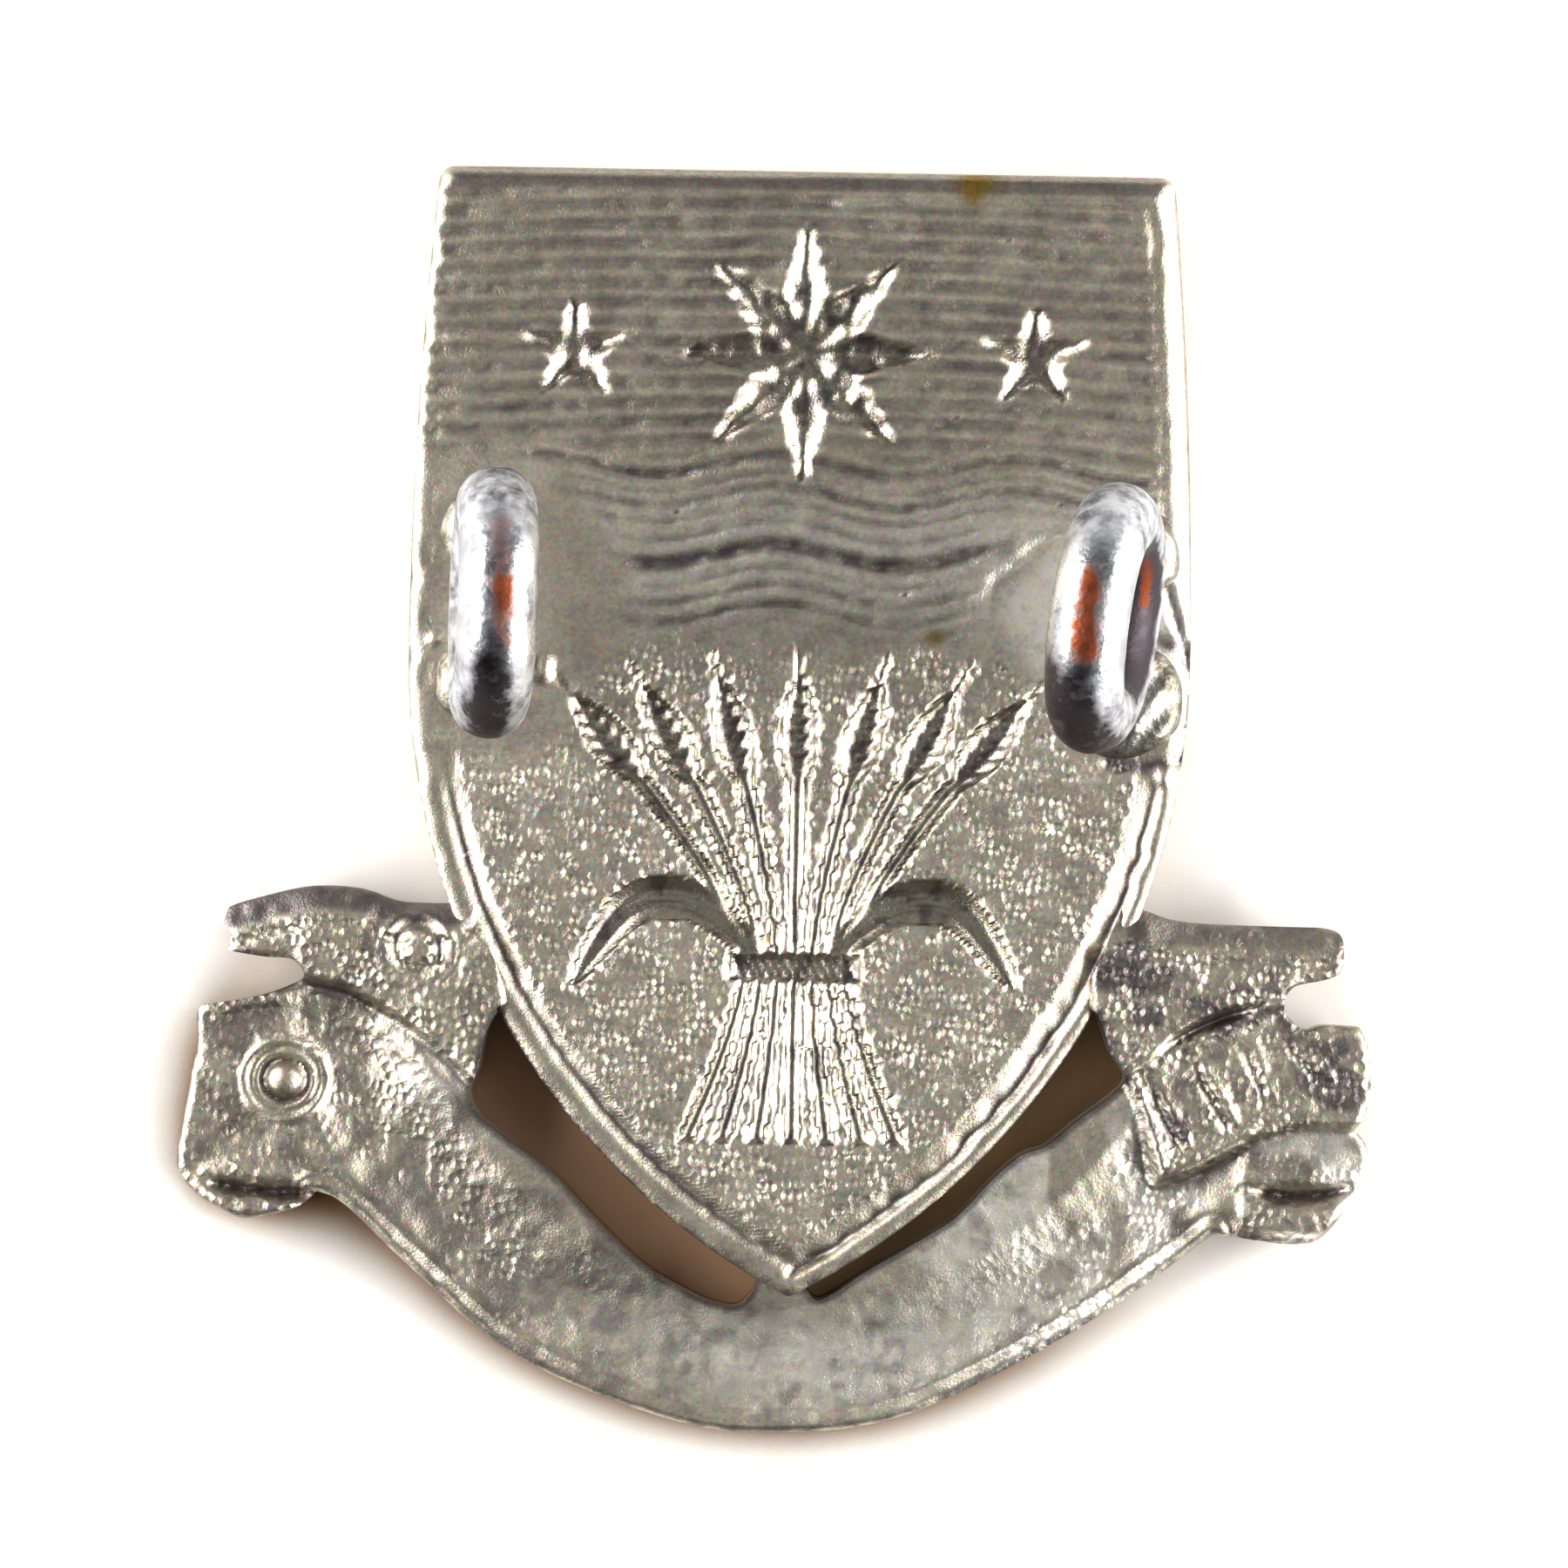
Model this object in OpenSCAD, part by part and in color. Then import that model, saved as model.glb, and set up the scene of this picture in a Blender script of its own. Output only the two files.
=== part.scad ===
// Struck metal cap badge: heater shield over a folded ribbon scroll, with two wire ring lugs
// soldered to the back. It lies face down: +Z is the back, +Y the top of the badge, and the
// lowest point of the raised front is at z = 0.

/* [Shield] */
// Greatest width of the shield, at its shoulder
shield_w = 21.4; // [18:0.1:26]
// Width of the shield across its top edge
shield_top_w = 20.1; // [16:0.1:21]
// Height of the shield from its top edge to its tip
shield_h = 30.8; // [26:0.1:37]
// Height of the shoulder, where the sides turn in, above the tip
shoulder_h = 17.5; // [14:0.1:21]
// Sideways place of the shield's centre line
shield_x = 0.5; // [-1:0.1:1]
// Radius of the shield's two top corners
corner_r = 0.4; // [0.1:0.05:0.8]
// Width of the raised border on the front
border_w = 1.0; // [0.7:0.05:1.5]
// Distance of the border's groove on the back from the shield's edge
groove_inset = 0.35; // [0.2:0.05:0.5]
// Width of that groove
groove_w = 0.45; // [0.3:0.05:0.5]
// Height above the tip at which the groove ends
groove_h = 14.0; // [10:0.1:14]
// Width of the turned edge on the right, above the lug
turned_w = 0.5; // [0.3:0.05:0.55]
// Depth to which that edge is turned down
turned_d = 0.35; // [0.1:0.05:0.5]

/* [Sheet and relief] */
// Thickness of the struck sheet
sheet_t = 1.0; // [0.8:0.05:1.4]
// Height of the border and the charges above the front field
relief_h = 0.8; // [0.5:0.05:1.1]
// Depth of the hollows that they leave in the back
hollow_d = 0.5; // [0.3:0.05:0.65]
// Height and depth of the engraved lines
line_d = 0.2; // [0.1:0.02:0.3]
// How much narrower a hollow is than its raised form, on each side
draft = 0.06; // [0:0.01:0.08]

/* [Chief and waves] */
// Height of the hatched chief
chief_h = 7.9; // [6:0.1:9]
// Spacing of the hatched lines
hatch_pitch = 0.54; // [0.4:0.02:0.8]
// Width of a hatched line
hatch_w = 0.26; // [0.15:0.01:0.35]
// Reach of the large star's rays
star_r = 3.8; // [2:0.1:4.2]
// Reach of the small stars' points
small_star_r = 1.6; // [0.8:0.1:2]
// Distance of the small stars from the centre line
small_star_x = 6.3; // [5:0.1:6.8]
// Length of one wave
wave_len = 6.6; // [4:0.1:9]
// Height of a wave above and below its middle
wave_amp = 0.28; // [0.1:0.02:0.5]
// Spacing of the waves
wave_pitch = 0.56; // [0.45:0.01:0.8]
// Width of a wave line
wave_w = 0.24; // [0.2:0.01:0.32]
// Number of wave lines
wave_n = 8; // [3:1:9]

/* [Wheatsheaf] */
// Height of the tie above the shield's tip
sheaf_waist_h = 9.0; // [8:0.1:10]
// Length of the stalks above the tie
sheaf_up = 5.2; // [4:0.1:6]
// Length of the stalks below the tie
sheaf_down = 4.8; // [3:0.1:5.5]
// Stalks on each side of the middle one
sheaf_side = 3; // [2:1:3]
// Reach of the outer stalk at its top
sheaf_spread = 4.4; // [3:0.1:5]
// Reach of the outer stalk at the tie
sheaf_waist = 1.35; // [1.2:0.05:1.8]
// Reach of the outer stalk at its foot
sheaf_foot = 2.9; // [2:0.1:3.4]
// Width of a stalk at its ends; it is slimmer at the tie
stalk_w = 0.5; // [0.3:0.02:0.56]
// Length of an ear of grain
ear_l = 3.0; // [2:0.1:3.2]
// Width of an ear of grain
ear_w = 1.1; // [0.6:0.05:1.2]
// Height of the tie
tie_h = 0.8; // [0.5:0.05:1.2]
// Reach of the two leaves at the tie
leaf_reach = 6.0; // [4:0.1:6.3]
// Width of a leaf
leaf_w = 1.1; // [0.6:0.05:1.3]

/* [Scroll] */
// Width of the scroll from end to end
scroll_w = 32.66; // [31:0.1:39]
// Distance from the shield's tip to the scroll's lowest edge
scroll_drop = 3.77; // [3.2:0.1:4.6]
// How far the ribbon's front face stands below the shield's front field
panel_step = 0.3; // [0.1:0.05:0.4]
// How far the pleated fold stands above the ribbon's back
fold_step = 0.2; // [0.1:0.05:0.3]
// How far the tails stand above the shield's back
tail_step = 0.2; // [0.1:0.05:0.4]
// Depth of the ribbon's trough
trough_d = 0.35; // [0.2:0.05:0.45]
// Width of the ribbon's trough
trough_w = 2.8; // [2:0.1:3.2]
// Radius of the ribbon's middle line
trough_r = 12.7; // [12.4:0.1:12.9]
// Radius of the rolled corners at the ribbon's ends
roll_r = 0.8; // [0.6:0.05:0.9]
// Width of the step along the top of the tails
tail_band_w = 0.9; // [0.6:0.05:1.2]
// Outer radius of the ringed boss on the left fold
boss_r = 1.25; // [0.8:0.05:1.4]
// Width of its ring
boss_ring_w = 0.35; // [0.2:0.05:0.4]

/* [Lugs] */
// Diameter of the lug wire
wire_d = 2.2; // [1.6:0.05:2.4]
// Outer diameter of a lug, a closed ring of wire that stands on its edge
ring_d = 7.4; // [6.6:0.1:8.6]
// Depth by which a ring is flattened where it stands on the back
ring_sink = 0.15; // [0.1:0.01:0.3]
// Height of the lugs' middle above the shoulder
lug_rise = 1.0; // [0.5:0.1:2]
// How much higher the left lug stands than the right one
lug_left_up = 0.25; // [0:0.05:0.5]
// Distance of the left lug's foot from the shield's left edge
lug_left_in = 2.1; // [1.9:0.05:3]
// Distance of the right lug's foot from the shield's right edge
lug_right_in = 1.8; // [1.7:0.05:3]
// Inward lean of the left lug
lug_left_lean = 6; // [0:0.5:15]
// Inward lean of the right lug
lug_right_lean = 12.5; // [0:0.5:15]
// Turn of the left lug about the upright
lug_left_turn = -1; // [-8:0.5:8]
// Turn of the right lug about the upright
lug_right_turn = -7.5; // [-8:0.5:8]
// Distance of the plain pad's edge from a lug, sideways
pad_w = 4.1; // [3.5:0.1:5]
// Distance of the pad's edge from a lug, up and down
pad_h = 4.2; // [3.9:0.1:4.4]
// Width of the line round a pad
pad_line_w = 0.2; // [0.1:0.05:0.3]

/* [Solder] */
// Radius of a pool of solder
solder_r = 1.35; // [1.2:0.05:1.5]
// Height of the solder
solder_h = 0.75; // [0.4:0.05:1]
// Distance of the pools from the lug's middle, up and down
solder_off = 2.0; // [1.8:0.05:2.4]
// Radius of the large pool below the right lug
pool_r = 1.45; // [1.2:0.05:1.5]
// Distance of the large pool from the lug's middle, downward
pool_down = 1.9; // [1.8:0.05:2.4]
// Distance of the large pool outward from the lug's foot
pool_out = 0.1; // [0:0.05:0.25]

/* [Hidden] */

bite = 0.2;             // depth by which joined forms run into each other
arc_steps = 20;         // straight steps in one drawn arc
curve_steps = 3;        // straight steps between two points of a drawn curve
wave_steps = 24;        // straight steps in one wave line

half_w = shield_w / 2;
half_top = shield_top_w / 2;
scroll_bottom = -17.27; // lowest edge of the scroll, half the badge's height below its middle
tip_y = scroll_bottom + scroll_drop;
top_y = tip_y + shield_h;
shoulder_y = tip_y + shoulder_h;
side_rise = top_y - shoulder_y;
// Radius of the lower sides, which run from the shoulder to the tip
side_r = (half_w * half_w + shoulder_h * shoulder_h) / (2 * half_w);
// Radius of the upper sides, which are upright at the shoulder
flare_r = (side_rise * side_rise) / (2 * (half_w - half_top)) + (half_w - half_top) / 2;

field_z = relief_h;
back_z = field_z + sheet_t;
panel_z = field_z - panel_step;
panel_back_z = panel_z + sheet_t;
tail_back_z = back_z + tail_step;
chief_y = top_y - chief_h;
star_y = top_y - border_w - star_r - 0.15;
sheaf_waist_y = tip_y + sheaf_waist_h;
stalk_n = 2 * sheaf_side + 1;

wire_r = wire_d / 2;
bend_r = ring_d / 2 - wire_r;
lug_y = shoulder_y + lug_rise;
left_lug_at = [shield_x - half_w + lug_left_in, lug_y + lug_left_up];
right_lug_at = [shield_x + half_w - lug_right_in, lug_y];
front_lines_in = border_w + 0.15;
back_lines_in = 0.6;    // distance of the engraved lines on the back from the shield's edge

// The scroll is drawn at 32.66 mm wide and with the tip 3.77 mm above its lowest edge.
drawn_w = 32.66;
drawn_drop = 3.77;
drawn_bottom = -17.27;

// ---------- drawing functions ----------

function arc(centre, r, from, to, steps = arc_steps) = [
    for (i = [0:steps])
        let (a = from + (to - from) * i / steps)
        centre + r * [cos(a), sin(a)]
];

// A smooth curve through the given points, ending at the last one
function curve(p) = [
    for (i = [0:len(p) - 2], k = [0:curve_steps - 1])
        let (t = k / curve_steps,
             a = p[max(i - 1, 0)], b = p[i], c = p[i + 1], d = p[min(i + 2, len(p) - 1)])
        b + 0.5 * t * ((c - a) + t * ((2 * a - 5 * b + 4 * c - d) + t * (3 * (b - c) + d - a)))
];

function reversed(p) = [for (i = [len(p) - 1:-1:0]) p[i]];

// A drawn scroll point, taken to the chosen width and to the shield's tip
function placed(p) = [for (q = p) [
    q.x * scroll_w / drawn_w,
    q.y > drawn_bottom + drawn_drop
        ? tip_y + q.y - drawn_bottom - drawn_drop
        : scroll_bottom + (q.y - drawn_bottom) * scroll_drop / drawn_drop
]];

// Half of the shield's width at a height
function half_at(y) = y > shoulder_y
    ? half_w - flare_r + sqrt(flare_r * flare_r - pow(y - shoulder_y, 2))
    : half_w - side_r + sqrt(side_r * side_r - pow(y - shoulder_y, 2));

// Right side of the shield's outline, from its top corner to its tip, drawn in by inset
function side_points(inset) =
    let (corner_y = top_y - inset - corner_r,
         corner_x = half_at(corner_y) - inset - corner_r,
         corner_a = asin((corner_y - shoulder_y) / (flare_r - inset)))
    concat(
        arc([corner_x, corner_y], corner_r, 90, 15, 5),
        arc([half_w - flare_r, shoulder_y], flare_r - inset, corner_a, 0),
        arc([half_w - side_r, shoulder_y], side_r - inset, -1, -acos((side_r - half_w) / (side_r - inset)))
    );

function star_points(n, r_out, r_in) = [
    for (i = [0:2 * n - 1])
        let (r = i % 2 == 0 ? r_out : r_in, a = 90 + i * 180 / n)
        r * [cos(a), sin(a)]
];

// Sideways place of a stalk at a height from the tie, for s from -1 to 1
function stalk_x(s, h) = s * (h > 0
    ? sheaf_waist + (sheaf_spread - sheaf_waist) * pow(h / sheaf_up, 1.4)
    : sheaf_waist + (sheaf_foot - sheaf_waist) * pow(-h / sheaf_down, 1.4));

// Half width of a stalk at a height from the tie
function stalk_half(h) = stalk_w / 2 * (0.6 + 0.4 * abs(h) / sheaf_up);

// Slant of a stalk at its top, away from the upright
function stalk_slant(s) = atan(s * (sheaf_spread - sheaf_waist) * 1.4 / sheaf_up);

function wave_y(x) = wave_amp * cos(360 * (x - 0.8) / wave_len);

// Middle line of the right leaf, from the tie
leaf_line = [for (p = concat(curve([[0.9, 0.2], [2.7, 1.7], [4.5, 1.6], [6.0, -0.4]]), [[6.0, -0.4]]))
    [p.x * leaf_reach / 6, p.y]];

// Points beside a line, off to its left by half a leaf's width
function leaf_side(p, way, shrink) = [
    for (i = [0:len(p) - 1])
        let (ahead = p[min(i + 1, len(p) - 1)] - p[max(i - 1, 0)],
             half = 0.1 + (leaf_w / 2 - 0.1) * sin(180 * i / (len(p) - 1)) - shrink)
        p[i] + way * half * [-ahead.y, ahead.x] / norm(ahead)
];

// A pointed oval from one end to the other, w wide
function almond(from, to, w) =
    let (axis = to - from, across = [-axis.y, axis.x] * w / 2 / norm(axis))
    concat([for (i = [0:8]) from + axis * i / 8 + across * sin(22.5 * i)],
           [for (i = [7:-1:1]) from + axis * i / 8 - across * sin(22.5 * i)]);

// ---------- flat shapes ----------

module shield_shape(inset = 0) {
    side = side_points(inset);
    translate([shield_x, 0])
        polygon(concat(side, reversed([for (p = side) [-p.x, p.y]])));
}

// Left end: tail, notch, fold and rolled corner, from the shield's edge to the ribbon
left_end = placed(concat(
    curve([[-8.8, -2.9], [-9.7, -2.9], [-10.4, -2.85], [-11.3, -2.55], [-12.3, -2.47], [-13.2, -2.56],
           [-14.6, -2.94], [-15.0, -3.1]]),
    curve([[-15.0, -3.1], [-15.1, -3.5], [-14.9, -3.8], [-15.0, -4.28]]),
    curve([[-15.0, -4.28], [-14.0, -4.43], [-13.2, -4.5], [-12.9, -4.94], [-13.4, -5.25], [-14.3, -5.55],
           [-15.7, -5.8]]),
    curve([[-15.7, -5.8], [-15.85, -6.1], [-15.8, -6.85], [-15.95, -7.6], [-16.15, -8.9]]),
    curve([[-16.15, -8.9], [-16.33, -10.0], [-16.2, -10.5], [-15.7, -11.0], [-14.9, -11.43],
           [-14.3, -11.6], [-13.0, -11.27], [-12.5, -10.85]])
));

// Lower edge of the ribbon, from left to right
lower_edge = placed(curve([[-12.5, -10.85], [-11.7, -11.2], [-9.75, -13.0], [-6.9, -15.3], [-2.7, -16.93],
                           [0.3, -17.24], [3.9, -16.65], [8.56, -14.2], [12.1, -11.6]]));

// Right end, from the ribbon back up to the shield's edge
right_end = placed(concat(
    curve([[12.1, -11.6], [13.3, -11.75], [14.4, -11.85], [15.1, -11.6], [15.97, -10.4], [16.29, -9.6],
           [16.2, -9.0], [15.9, -8.7]]),
    curve([[15.9, -8.7], [16.2, -8.2], [16.33, -7.6], [16.25, -6.5], [16.0, -5.86]]),
    curve([[16.0, -5.86], [15.0, -5.83], [14.5, -5.96], [13.95, -5.5], [13.95, -5.06], [14.2, -4.75],
           [14.9, -4.6]]),
    curve([[14.9, -4.6], [15.4, -4.4], [15.52, -3.9], [15.4, -3.3], [14.9, -3.15]]),
    curve([[14.9, -3.15], [13.4, -3.14], [11.6, -3.1], [10.7, -2.98], [10.0, -2.75], [9.2, -2.75]])
));

module scroll_shape()
    polygon(concat(left_end, lower_edge, right_end));

// The gap between shield and ribbon on the left; the shield covers its upper side
module left_slot_shape()
    polygon(placed(concat(
        curve([[-7.55, -5.75], [-7.9, -6.4], [-8.1, -7.4], [-8.35, -8.1], [-8.05, -8.76]]),
        curve([[-8.05, -8.76], [-7.36, -9.3], [-6.2, -10.1], [-5.14, -11.2], [-3.6, -12.66], [-2.55, -13.3],
               [-1.64, -13.72], [-0.9, -13.82], [-0.45, -13.35]]),
        [[-0.45, -13.35], [0.2, -11.5], [-6.5, -5.0]]
    )));

module right_slot_shape()
    polygon(placed(concat(
        curve([[8.8, -5.6], [9.0, -6.1], [9.2, -6.7], [9.63, -7.45], [8.9, -8.15]]),
        curve([[8.9, -8.15], [8.3, -8.6], [7.5, -9.27], [6.8, -9.55], [6.0, -10.25], [5.13, -11.2],
               [4.25, -11.8], [2.6, -12.8], [1.75, -13.4], [1.25, -13.6], [0.95, -13.3]]),
        [[0.95, -13.3], [0.8, -11.5], [7.5, -5.0]]
    )));

// The scroll without its gaps and without the part behind the shield, where it joins the border
module pierced_scroll_shape()
    difference() {
        scroll_shape();
        left_slot_shape();
        right_slot_shape();
        shield_shape(border_w / 2);
    }

// The parts of the scroll that lie behind its folds
module left_tail_area()
    polygon(placed(concat(
        [[-7.9, -1.5], [-16.5, -1.5], [-16.5, -4.9], [-12.95, -4.9]],
        curve([[-12.95, -4.9], [-11.5, -5.3], [-9.9, -6.2], [-8.6, -7.3], [-8.2, -7.7]]),
        [[-7.4, -7.7], [-7.4, -5.5]]
    )));

module right_tail_area()
    polygon(placed(concat(
        [[8.6, -1.5], [16.6, -1.5], [16.6, -5.2], [13.9, -5.2]],
        curve([[13.9, -5.2], [12.6, -5.4], [11.2, -6.0], [9.9, -6.9], [9.5, -7.2]]),
        [[8.8, -7.2], [8.6, -5.6]]
    )));

// The pleated fold at the right, which lies over the end of the ribbon
module right_fold_area()
    polygon(placed(concat(
        curve([[9.3, -7.0], [9.8, -8.0], [10.2, -9.2], [10.5, -10.3]]),
        curve([[10.5, -10.3], [11.6, -9.95], [12.8, -9.3], [14.2, -8.75], [16.0, -8.7]]),
        [[16.0, -8.7], [16.8, -8.7], [16.8, -5.2], [13.9, -5.0]]
    )));

module tails_shape()
    intersection() {
        pierced_scroll_shape();
        union() {
            left_tail_area();
            right_tail_area();
        }
    }

module fold_shape()
    difference() {
        intersection() {
            pierced_scroll_shape();
            right_fold_area();
        }
        right_tail_area();
    }

// The long curved run of the ribbon, with the fold at its left end
module ribbon_shape()
    difference() {
        pierced_scroll_shape();
        left_tail_area();
        right_tail_area();
        right_fold_area();
    }

// Strips along the top of the tails, where the ribbon's edge is turned down
module tail_band_shape() {
    upper = curve([[-9.7, -2.9], [-10.4, -2.85], [-11.3, -2.55], [-12.3, -2.47], [-13.2, -2.56],
                   [-14.6, -2.94], [-15.0, -3.1]]);
    drop = [0, tail_band_w];
    polygon(placed(concat([for (p = upper) p + drop / 2], [for (p = reversed(upper)) p - drop])));
    polygon(placed([[11.9, -2.6], [16.0, -2.6], [16.0, -5.1], [14.7, -5.1], [14.5, -3.1 - tail_band_w],
                    [12.2, -3.4 - tail_band_w]]));
}

module star_shape(at, n, r_out, r_in)
    translate([shield_x + at.x, at.y])
        polygon(star_points(n, r_out, r_in));

module stalk_shape(s, shrink) {
    heights = [for (i = [-5:5]) i < 0 ? i * sheaf_down / 5 : i * sheaf_up / 5];
    translate([shield_x, sheaf_waist_y])
        polygon(concat([for (h = heights) [stalk_x(s, h) - stalk_half(h) + shrink, h]],
                       [for (h = reversed(heights)) [stalk_x(s, h) + stalk_half(h) - shrink, h]]));
}

module ear_shape(s, shrink) {
    w = ear_w / 2 - shrink;
    translate([shield_x + stalk_x(s, sheaf_up), sheaf_waist_y + sheaf_up])
        rotate(-stalk_slant(s))
            polygon([for (i = [0:11])
                let (a = i * 30)
                [w * sin(a) * (1.1 + 0.3 * cos(a)), ear_l / 2 * (1 - cos(a)) - bite]]);
}

module tie_shape(shrink)
    translate([shield_x, sheaf_waist_y])
        square([2 * (sheaf_waist + stalk_w - shrink), tie_h - 2 * shrink], center = true);

module leaf_shape(side, shrink)
    translate([shield_x, sheaf_waist_y])
        scale([side, 1])
            polygon(concat(leaf_side(leaf_line, 1, shrink), reversed(leaf_side(leaf_line, -1, shrink))));

module charges_shape(shrink = 0) {
    star_shape([0, star_y], 8, star_r - 2 * shrink, star_r * 0.42 - shrink);
    for (side = [-1, 1])
        star_shape([side * small_star_x, star_y], 5, small_star_r - 2 * shrink, small_star_r * 0.42 - shrink);
    for (i = [-sheaf_side:sheaf_side]) {
        stalk_shape(i / sheaf_side, shrink);
        ear_shape(i / sheaf_side, shrink);
    }
    for (side = [-1, 1])
        leaf_shape(side, shrink);
    tie_shape(shrink);
}

module hatch_shape(inset, shrink)
    for (y = [chief_y + hatch_pitch:hatch_pitch:top_y - inset - hatch_w])
        translate([shield_x - half_w, y + shrink])
            square([shield_w, hatch_w - 2 * shrink]);

module wave_shape(shrink) {
    xs = [for (i = [0:wave_steps]) -half_w + i * shield_w / wave_steps];
    for (i = [0:wave_n - 1])
        translate([shield_x, chief_y - i * wave_pitch])
            polygon(concat([for (x = xs) [x, wave_y(x) + shrink]],
                           [for (x = reversed(xs)) [x, wave_y(x) + wave_w - shrink]]));
}

// Plain back round both lugs
module pads_shape(inset = 0)
    for (at = [left_lug_at, right_lug_at])
        translate(at)
            polygon([for (a = [0:15:345]) [(pad_w - inset) * cos(a), (pad_h - inset) * sin(a)]]);

// Ground that the engraved lines stop at: round the charges and on the pads
module ground_shape() {
    star_shape([0, star_y], 8, star_r + 0.35, star_r * 0.42 + 0.35);
    for (side = [-1, 1])
        star_shape([side * small_star_x, star_y], 5, small_star_r + 0.4, small_star_r * 0.42 + 0.3);
    pads_shape();
}

module lines_shape(inset, shrink = 0)
    difference() {
        intersection() {
            shield_shape(inset);
            union() {
                hatch_shape(inset, shrink);
                wave_shape(shrink);
            }
        }
        ground_shape();
    }

module boss_shape(shrink = 0)
    translate(placed([[-13.4, -7.8]])[0]) {
        circle(r = boss_r * 0.45 - shrink, $fn = 32);
        difference() {
            circle(r = boss_r - shrink, $fn = 48);
            circle(r = boss_r - boss_ring_w + shrink, $fn = 48);
        }
    }

// Slanting folds pressed into the right end of the ribbon
module pleat_shape(shrink = 0)
    for (i = [0:2])
        translate(placed([[11.3 + 1.15 * i, -8.4 + 0.75 * i]])[0])
            rotate(25)
                polygon([[-0.2 + shrink, -1.0], [0, -1.2], [0.2 - shrink, -1.0], [0.15 - shrink, 0.9],
                         [0, 1.1], [-0.15 + shrink, 0.9]]);

// ---------- the struck plate ----------

module layer(z, h)
    translate([0, 0, z])
        linear_extrude(h)
            children();

// Where the rolled corners' middle lines begin and end
left_roll = placed([[-16.4, -10.55], [-12.4, -10.85]]);
right_roll = placed([[12.6, -11.45], [16.6, -9.75]]);

// Band along the ribbon's middle, bowed down from height z
module ribbon_bow(z)
    translate([shield_x, scroll_bottom + trough_r + 2.1, z])
        rotate(190)
            rotate_extrude(angle = 140, $fn = 96)
                polygon(concat(
                    [for (i = [-4:4]) [trough_r + i * trough_w / 8, -trough_d * (1 - i * i / 16)]],
                    [[trough_r + trough_w / 2, bite / 2], [trough_r - trough_w / 2, bite / 2]]
                ));

module scroll_sheet() {
    difference() {
        union() {
            layer(panel_z, sheet_t)
                ribbon_shape();
            intersection() {
                layer(0, panel_z + bite)
                    ribbon_shape();
                ribbon_bow(panel_z);
            }
        }
        ribbon_bow(panel_back_z);
    }
    layer(panel_z, sheet_t + fold_step)
        fold_shape();
    layer(field_z, tail_back_z - field_z)
        tails_shape();
}

// Ribbon ends rolled up at the lower corners, each open along a slit on the back
module rolled_corners()
    difference() {
        intersection() {
            layer(panel_z - roll_r, 2 * roll_r + sheet_t)
                pierced_scroll_shape();
            union() {
                roll(left_roll);
                roll(right_roll);
            }
        }
        layer(panel_back_z - line_d, 1) {
            polygon(almond(left_roll[0] + [0.5, 0.3], left_roll[1] + [-0.5, 0.3], 0.5));
            polygon(almond(right_roll[0] + [0.6, 0.35], right_roll[1] + [-0.8, 0.25], 0.5));
        }
    }

module roll(ends) {
    axis = ends[1] - ends[0];
    translate([ends[0].x, ends[0].y, panel_z + sheet_t / 2 + 0.1])
        rotate([0, 90, atan2(axis.y, axis.x)])
            cylinder(h = norm(axis), r = roll_r, $fn = 32);
}

module front_relief() {
    layer(0, relief_h + bite) {
        difference() {
            shield_shape();
            shield_shape(border_w);
        }
        charges_shape();
    }
    layer(field_z - line_d, line_d + bite)
        lines_shape(front_lines_in);
    layer(panel_z - line_d, line_d + bite) {
        boss_shape();
        pleat_shape();
    }
}

// The groove that the border leaves in the back, along the shield's lower sides
module groove_shape()
    intersection() {
        difference() {
            shield_shape(groove_inset);
            shield_shape(groove_inset + groove_w);
        }
        translate([shield_x - half_w, tip_y])
            square([shield_w, groove_h]);
    }

// Slope cut along the right edge, from above the lug up to the top
module turned_edge() {
    from = asin((lug_y + pad_h + 0.5 - shoulder_y) / flare_r);
    drop = turned_d * (turned_w + bite) / turned_w;
    translate([shield_x + half_w - flare_r, shoulder_y, back_z])
        rotate(from)
            rotate_extrude(angle = asin(side_rise / flare_r) + 1 - from, $fn = 180)
                polygon([[flare_r - turned_w, 0], [flare_r + bite, -drop], [flare_r + bite, bite],
                         [flare_r - turned_w, bite]]);
}

module back_hollows() {
    layer(back_z - hollow_d, hollow_d + 1) {
        groove_shape();
        charges_shape(draft);
    }
    turned_edge();
    layer(back_z - line_d, line_d + 1) {
        lines_shape(back_lines_in, draft);
        difference() {
            pads_shape();
            pads_shape(pad_line_w);
        }
    }
    layer(panel_back_z - line_d, line_d + bite)
        boss_shape(draft);
    layer(panel_back_z + fold_step - line_d, line_d + bite)
        pleat_shape(draft);
    layer(tail_back_z - line_d, line_d + 1)
        tail_band_shape();
}

module badge_plate()
    color("#a9a59c")
        difference() {
            union() {
                layer(field_z, sheet_t)
                    shield_shape();
                scroll_sheet();
                rolled_corners();
                front_relief();
            }
            back_hollows();
        }

// ---------- lugs and solder ----------

// A closed ring standing on the back, leaning and turned about the place where it stands
module ring(at, lean, turn)
    translate([at.x, at.y, back_z])
        rotate(turn)
            rotate([0, lean, 0])
                translate([0, 0, ring_d / 2 - ring_sink])
                    rotate([0, 90, 0])
                        rotate_extrude($fn = 96)
                            translate([bend_r, 0])
                                circle(r = wire_r, $fn = 48);

module lug(at, lean, turn)
    color("#b9bbbd")
        difference() {
            ring(at, lean, turn);
            translate([at.x - ring_d, at.y - ring_d, back_z - 5])
                cube([2 * ring_d, 2 * ring_d, 5]);
        }

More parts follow.
